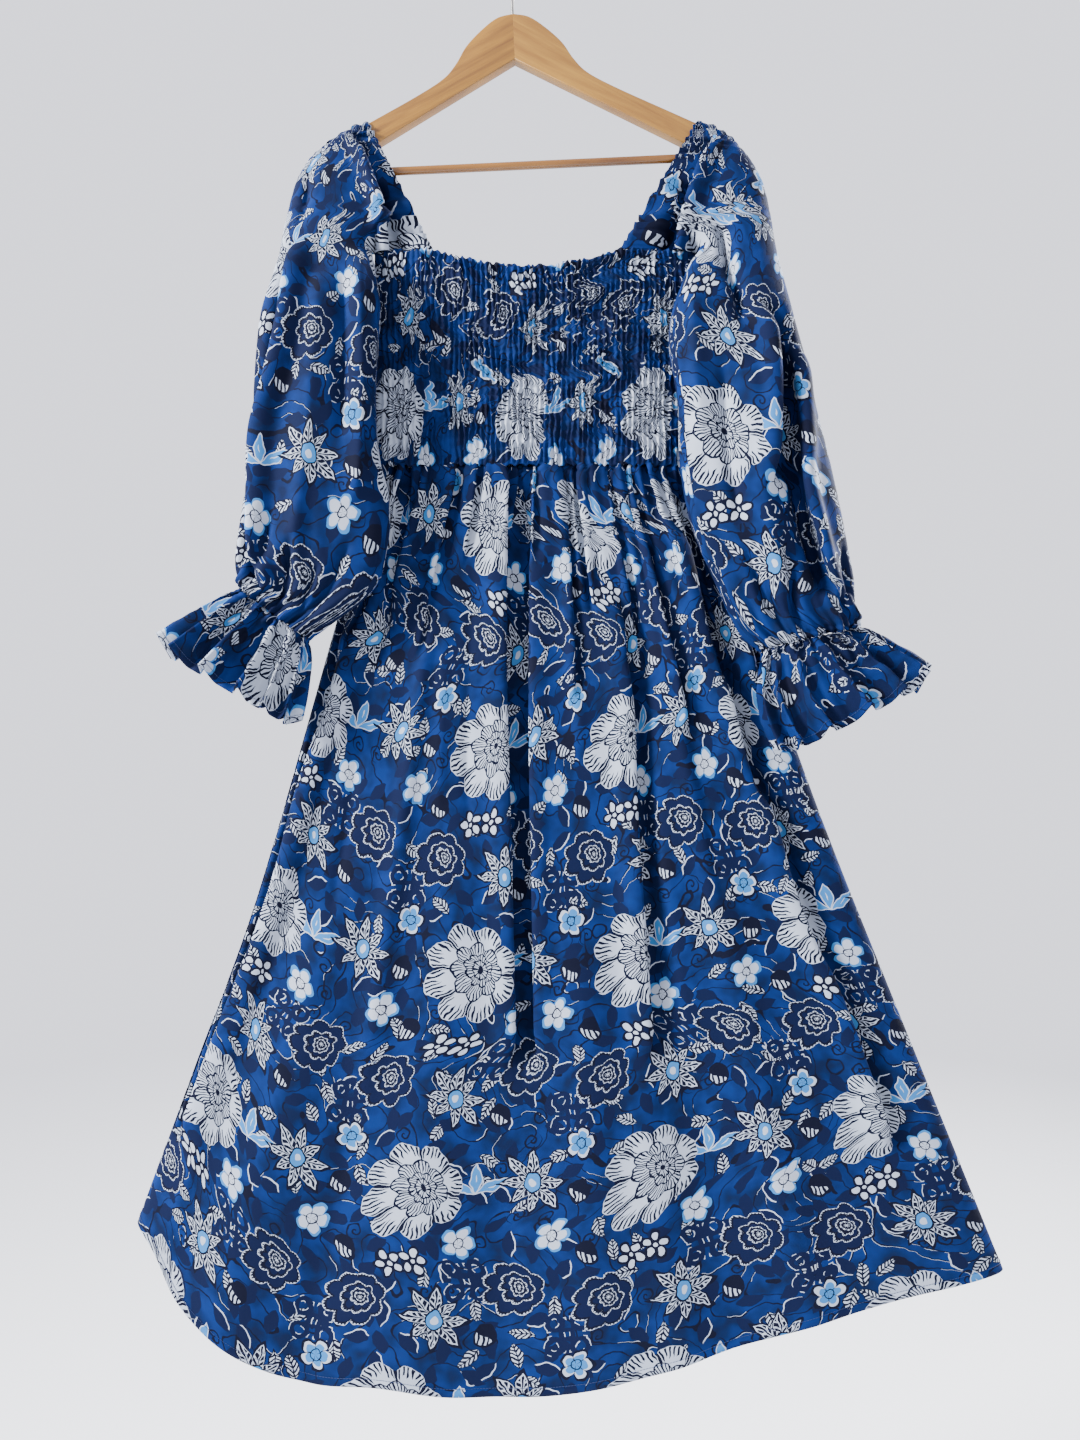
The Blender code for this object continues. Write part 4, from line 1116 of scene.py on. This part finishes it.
def stitch_tree():
    """Nodes that lay one short length of thread at every even step of a line."""
    tree = bpy.data.node_groups.new("stitches_along_a_line", "GeometryNodeTree")
    for name, kind in (("Line", "Geometry"), ("Spacing", "Float"), ("Length", "Float"),
                       ("Thickness", "Float"), ("Seed", "Int"), ("Thread", "Material")):
        tree.interface.new_socket(name, in_out="INPUT", socket_type="NodeSocket" + kind)
    tree.interface.new_socket("Stitches", in_out="OUTPUT", socket_type="NodeSocketGeometry")
    given, done, curve, steps, stitch, along, turned, uneven_length, size, laid, solid, dressed, half = (
        tree.nodes.new(kind) for kind in (
            "NodeGroupInput", "NodeGroupOutput", "GeometryNodeMeshToCurve", "GeometryNodeResampleCurve",
            "GeometryNodeMeshCylinder", "GeometryNodeInputTangent", "FunctionNodeAlignRotationToVector",
            "FunctionNodeRandomValue", "ShaderNodeCombineXYZ", "GeometryNodeInstanceOnPoints",
            "GeometryNodeRealizeInstances", "GeometryNodeSetMaterial", "ShaderNodeMath"))
    steps.mode = "LENGTH"
    turned.axis = "Z"
    half.operation = "MULTIPLY"
    half.inputs[1].default_value = 0.5
    stitch.inputs["Vertices"].default_value = 6
    uneven_length.inputs[2].default_value = 0.85
    uneven_length.inputs[3].default_value = 1.1
    size.inputs["X"].default_value = 1.0
    size.inputs["Y"].default_value = 1.0
    for source, output, target, socket in (
            (given, "Line", curve, "Mesh"), (curve, "Curve", steps, "Curve"),
            (given, "Spacing", steps, "Length"), (given, "Length", stitch, "Depth"),
            (given, "Thickness", half, 0), (half, 0, stitch, "Radius"),
            (along, "Tangent", turned, "Vector"), (given, "Seed", uneven_length, 8),
            (uneven_length, 1, size, "Z"), (steps, "Curve", laid, "Points"),
            (stitch, "Mesh", laid, "Instance"), (turned, "Rotation", laid, "Rotation"),
            (size, "Vector", laid, "Scale"), (laid, "Instances", solid, "Geometry"),
            (solid, "Geometry", dressed, "Geometry"), (given, "Thread", dressed, "Material"),
            (dressed, "Geometry", done, "Stitches")):
        tree.links.new(source.outputs[output], target.inputs[socket])
    return tree


def stitch_line(name, points, row, closed, seed):
    """Stitches on the outside of a piece, along one row of its grid."""
    line = (points + outward_of(points, closed) * (CLOTH + THREAD) / 2)[row]
    count = len(line)
    path = bpy.data.meshes.new(name)
    path.from_pydata([p * MM for p in line], [(k, (k + 1) % count) for k in range(count - (not closed))], [])
    holder = new_object(name, path)
    layer = holder.modifiers.new("stitches", "NODES")
    layer.node_group = stitches
    values = {"Spacing": STITCH_SPACING * MM, "Length": STITCH_LENGTH * MM, "Thickness": THREAD * MM,
              "Seed": seed, "Thread": blue_thread}
    for socket in stitches.interface.items_tree:
        if socket.name in values:
            layer[socket.identifier] = values[socket.name]
    mesh = bpy.data.meshes.new_from_object(holder.evaluated_get(bpy.context.evaluated_depsgraph_get()))
    holder.modifiers.remove(layer)
    bpy.data.objects.remove(holder)
    finish_piece(name, mesh, None, "printed_cotton")


blue_thread = thread_finish()
stitches = stitch_tree()
stitch_line("front_hem_stitches", front_skirt, STITCHED_ROW, False, 1)
stitch_line("back_hem_stitches", back_skirt, STITCHED_ROW, False, 2)
stitch_line("left_flounce_stitches", left_frill, STITCHED_ROW, True, 3)
stitch_line("right_flounce_stitches", right_frill, STITCHED_ROW, True, 4)

# Room
# A plain pale floor that fades into plain pale air, under soft lamps. The camera stands
# level, straight in front of the dress.
FLOOR_Z = -1.9
FLOOR_RADIUS = 3.0
FLOOR_COLOUR = (0.62, 0.63, 0.66, 1.0)
AIR = (1.58, 1.60, 1.78, 1.0)

floor_mesh = bpy.data.meshes.new("floor")
bm = bmesh.new()
bmesh.ops.create_circle(bm, cap_ends=True, segments=96, radius=FLOOR_RADIUS)
bm.to_mesh(floor_mesh)
bm.free()
floor = new_object("floor", floor_mesh)
floor.location = (0.0, 0.0, FLOOR_Z)
plaster, plaster_shader, plaster_place = new_finish("pale_floor", Roughness=0.9, Specular_IOR_Level=0.1)
plaster_shader.inputs["Base Color"].default_value = FLOOR_COLOUR
fade = (1.0 - plaster_place.length() * (1 / FLOOR_RADIUS)) * 1.3
connect(fade.math("MINIMUM", 1.0), plaster_shader, "Alpha")
floor.data.materials.append(plaster)

AIM = Vector((0.03, 0.0, -0.765))
LAMPS = (
    ("key", (-2.8, -1.3, 0.7), 0.8, 560.0),
    ("fill", (2.2, -2.8, -0.6), 2.2, 14.0),
    ("back_key", (2.8, 1.3, 0.7), 0.8, 560.0),
    ("back_fill", (-2.4, 2.6, -0.6), 2.2, 14.0),
)
for lamp_name, lamp_place, lamp_size, watts in LAMPS:
    light = bpy.data.lights.new(lamp_name, "AREA")
    light.size = lamp_size
    light.energy = watts
    lamp = new_object(lamp_name, light)
    lamp.location = lamp_place
    lamp.rotation_euler = (AIM - lamp.location).to_track_quat("-Z", "Y").to_euler()
world = bpy.data.worlds.new("pale_air")
world.use_nodes = True
world.node_tree.nodes["Background"].inputs["Color"].default_value = AIR
bpy.context.scene.world = world

CAMERA_PLACE = (0.030, -1.12, -0.765)
LENS = 28.0
camera_data = bpy.data.cameras.new("camera")
camera_data.lens = LENS
camera_data.sensor_width = 36.0
camera_data.clip_end = 50.0
camera = new_object("camera", camera_data)
camera.location = CAMERA_PLACE
camera.rotation_euler = (pi / 2, 0, 0)
bpy.context.scene.camera = camera
